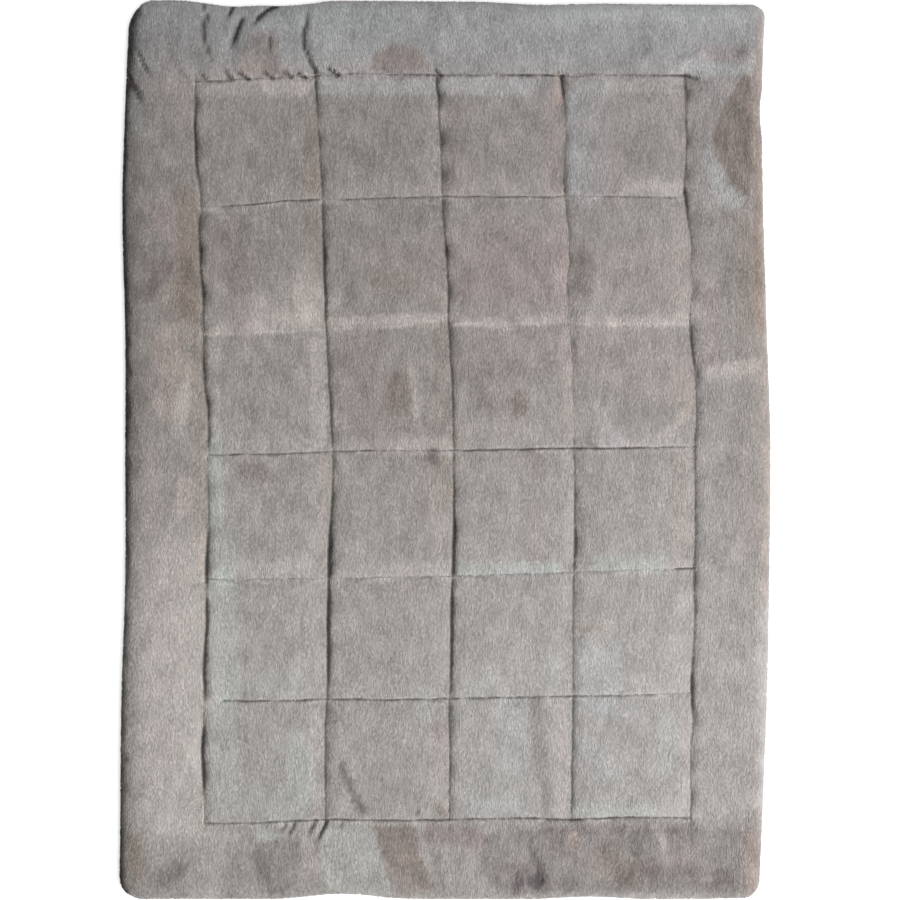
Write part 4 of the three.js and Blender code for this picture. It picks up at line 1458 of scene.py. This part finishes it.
def makeFibreStreaks():
    # long locks and fine hairs, drawn out along the nap
    tree, _, put = newGroup('fibreStreaks', 'ShaderNodeTree', {}, {'Locks': 'Float', 'Hairs': 'Float'})
    place = addNode(tree, 'ShaderNodeTexCoord').outputs['Object']
    for name, ((across, along), detail) in finish['streaks'].items():
        scale = (1 / (across * mm), 1 / (along * mm), 1 / (across * mm))
        mapping = addNode(tree, 'ShaderNodeMapping', {'Vector': place, 'Scale': scale})
        noise = addNode(tree, 'ShaderNodeTexNoise', {
            'Vector': mapping.outputs[0],
            'Scale': 1,
            'Detail': detail,
            'Roughness': finish['streakRoughness'],
        })
        tree.links.new(noise.outputs['Fac'], put[name])
    return tree


def attributeOf(tree, name, output='Fac'):
    return addNode(tree, 'ShaderNodeAttribute', attribute_name=name).outputs[output]


def factorOf(tree, attribute):
    # a factor of the colour, by a number that each tuft or point has
    least, more = finish[attribute]
    return worked(tree, 'ADD', worked(tree, 'MULTIPLY', attributeOf(tree, attribute), more), least)


def newMaterial(name, roughness, sheen):
    material = bpy.data.materials.new(name)
    material.use_nodes = True
    sockets = material.node_tree.nodes['Principled BSDF'].inputs
    sockets['Roughness'].default_value = roughness
    sockets['Sheen Weight'].default_value = sheen
    sockets['Sheen Roughness'].default_value = finish['sheenRoughness']
    sockets['Specular IOR Level'].default_value = finish['specular']
    return material, material.node_tree, sockets


def connect(tree, sockets, colour, roughness, height, distance):
    # puts a colour, a roughness and bumps of such a height into a material
    bump = addNode(tree, 'ShaderNodeBump', {
        'Strength': finish['bumpStrength'],
        'Distance': distance * mm,
        'Height': height,
    })
    tree.links.new(colour, sockets['Base Color'])
    tree.links.new(roughness, sockets['Roughness'])
    tree.links.new(bump.outputs['Normal'], sockets['Normal'])


def napMaterial(name, colour, napAndShadeColour, fibreStreaks, onTufts):
    material, tree, sockets = newMaterial(name, roughness=0.85, sheen=0.35)
    streaks = addNode(tree, 'ShaderNodeGroup', node_tree=fibreStreaks).outputs
    fibre = worked(
        tree, 'MULTIPLY', fromNoise(tree, streaks['Locks'], 'lockShades'),
        fromNoise(tree, streaks['Hairs'], 'hairShades'))
    if onTufts:
        # each tuft's own tone, and painted shade darker towards its root
        factors = worked(tree, 'MULTIPLY', factorOf(tree, 'tuftTone'), factorOf(tree, 'toTip'))
        fibre = worked(tree, 'MULTIPLY', fibre, factors)
    coloured = addNode(tree, 'ShaderNodeGroup', {
        'Colour': colour,
        'NapAndShade': attributeOf(tree, 'napAndShade', 'Vector'),
        'PaintedShade': attributeOf(tree, 'paintedShade'),
        'Fibre': fibre,
    }, node_tree=napAndShadeColour).outputs['Colour']
    roughness = fromNoise(tree, streaks['Hairs'], 'napRoughness')
    height = streaks['Hairs' if onTufts else 'Locks']
    connect(tree, sockets, coloured, roughness, height, finish['plushBump' if onTufts else 'groundBump'])
    return material


def threadMaterial():
    material, tree, sockets = newMaterial('seamThread', roughness=0.6, sheen=0.1)
    place = addNode(tree, 'ShaderNodeTexCoord').outputs['Object']
    twist = addNode(tree, 'ShaderNodeTexNoise', {'Vector': place, 'Scale': finish['twistScale']})
    twist = twist.outputs['Fac']
    colour = scaled(tree, finish['threadColour'], fromNoise(tree, twist, 'threadShades'))
    connect(tree, sockets, colour, fromNoise(tree, twist, 'threadRoughness'), twist, finish['threadBump'])
    return material


napAndShadeColour, fibreStreaks = makeNapAndShadeColour(), makeFibreStreaks()
plush = napMaterial('plush', finish['plushColour'], napAndShadeColour, fibreStreaks, onTufts=True)
ground = napMaterial('plushGround', finish['groundColour'], napAndShadeColour, fibreStreaks, onTufts=False)
cloth.data.materials.clear()
cloth.data.materials.append(ground)
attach(cloth, "root")
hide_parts("quilt")
for piece in makePile(cloth, plush):
    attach(piece, "root")
clearHelpers(cloth.data)
stitches = makeStitches(threadMaterial())
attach(stitches, "root")
print("pieces finished")


# Floor, light and camera, in metres
studio = {
    'floorSize': 16,
    'floorLevel': -0.0005,
    'floorRoughness': 0.9,
    'floorColour': (0.95, 0.95, 0.95, 1),
    'bounceColour': (0.3, 0.3, 0.3, 1),
    'skyColour': (1, 1, 1, 1),
    'skyStrength': 1.25,
    'skyFrom': (0.9, -0.4, 0.2),  # the side that most of the room's light comes from
    'skySpread': (0.25, 1.75),
    'keyPower': 1200,
    'keySize': 2.6,
    'keyPlace': (6.2, -5, 5.2),
    'cameraHeight': 6.0,
    'sensorWidth': 36,  # in millimetres, as the lens is
    'pixel': 2.81 * mm,  # width of cloth that one of the picture's pixels shows
    'pictureWidth': 900,
    'middleOfView': (11.2, -1.4),  # in the layout's millimetres
}


def makeFloor():
    bpy.ops.mesh.primitive_plane_add(size=studio['floorSize'], location=(0, 0, studio['floorLevel']))
    floor = bpy.context.object
    floor.name = 'floor'
    floor.select_set(False)
    pale = bpy.data.materials.new('paleFloor')
    pale.use_nodes = True
    tree = pale.node_tree
    surface = tree.nodes['Principled BSDF'].inputs
    surface['Roughness'].default_value = studio['floorRoughness']
    # the camera sees a white floor, which throws little light back under the rim
    toCamera = addNode(tree, 'ShaderNodeLightPath').outputs['Is Camera Ray']
    colour = mixed(tree, toCamera, studio['bounceColour'], studio['floorColour'])
    tree.links.new(colour, surface['Base Color'])
    floor.data.materials.append(pale)


def makeLight():
    sky = bpy.data.worlds.new('softRoom')
    sky.use_nodes = True
    room = sky.node_tree
    way = addNode(room, 'ShaderNodeTexCoord').outputs['Generated']
    side = addNode(room, vectors, {0: way, 1: studio['skyFrom']}, operation='DOT_PRODUCT')
    glow = ranged(room, side.outputs['Value'], (-1, 1), studio['skySpread'])
    background = room.nodes['Background'].inputs
    background['Color'].default_value = studio['skyColour']
    room.links.new(worked(room, 'MULTIPLY', glow, studio['skyStrength']), background['Strength'])
    bpy.context.scene.world = sky

    bpy.ops.object.light_add(type='AREA', location=studio['keyPlace'])
    key = bpy.context.object
    key.name = 'keyLight'
    key.data.energy = studio['keyPower']
    key.data.size = studio['keySize']
    key.rotation_euler = (-Vector(studio['keyPlace'])).to_track_quat('-Z', 'Y').to_euler()
    key.select_set(False)


def makeCamera():
    # looks straight down
    bpy.ops.object.camera_add()
    camera = bpy.context.object
    camera.name = 'camera'
    lookX, lookY = [place * mm - shift for place, shift in zip(studio['middleOfView'], outlineMiddle)]
    camera.location = (lookX, lookY, studio['cameraHeight'])
    camera.rotation_euler = (0, 0, 0)
    camera.data.sensor_width = studio['sensorWidth']
    seenWidth = studio['pixel'] * studio['pictureWidth']
    camera.data.lens = studio['sensorWidth'] * studio['cameraHeight'] / seenWidth
    camera.select_set(False)
    bpy.context.scene.camera = camera
    bpy.context.scene.view_settings.view_transform = 'Standard'


makeFloor()
makeLight()
makeCamera()
print("studio ready")
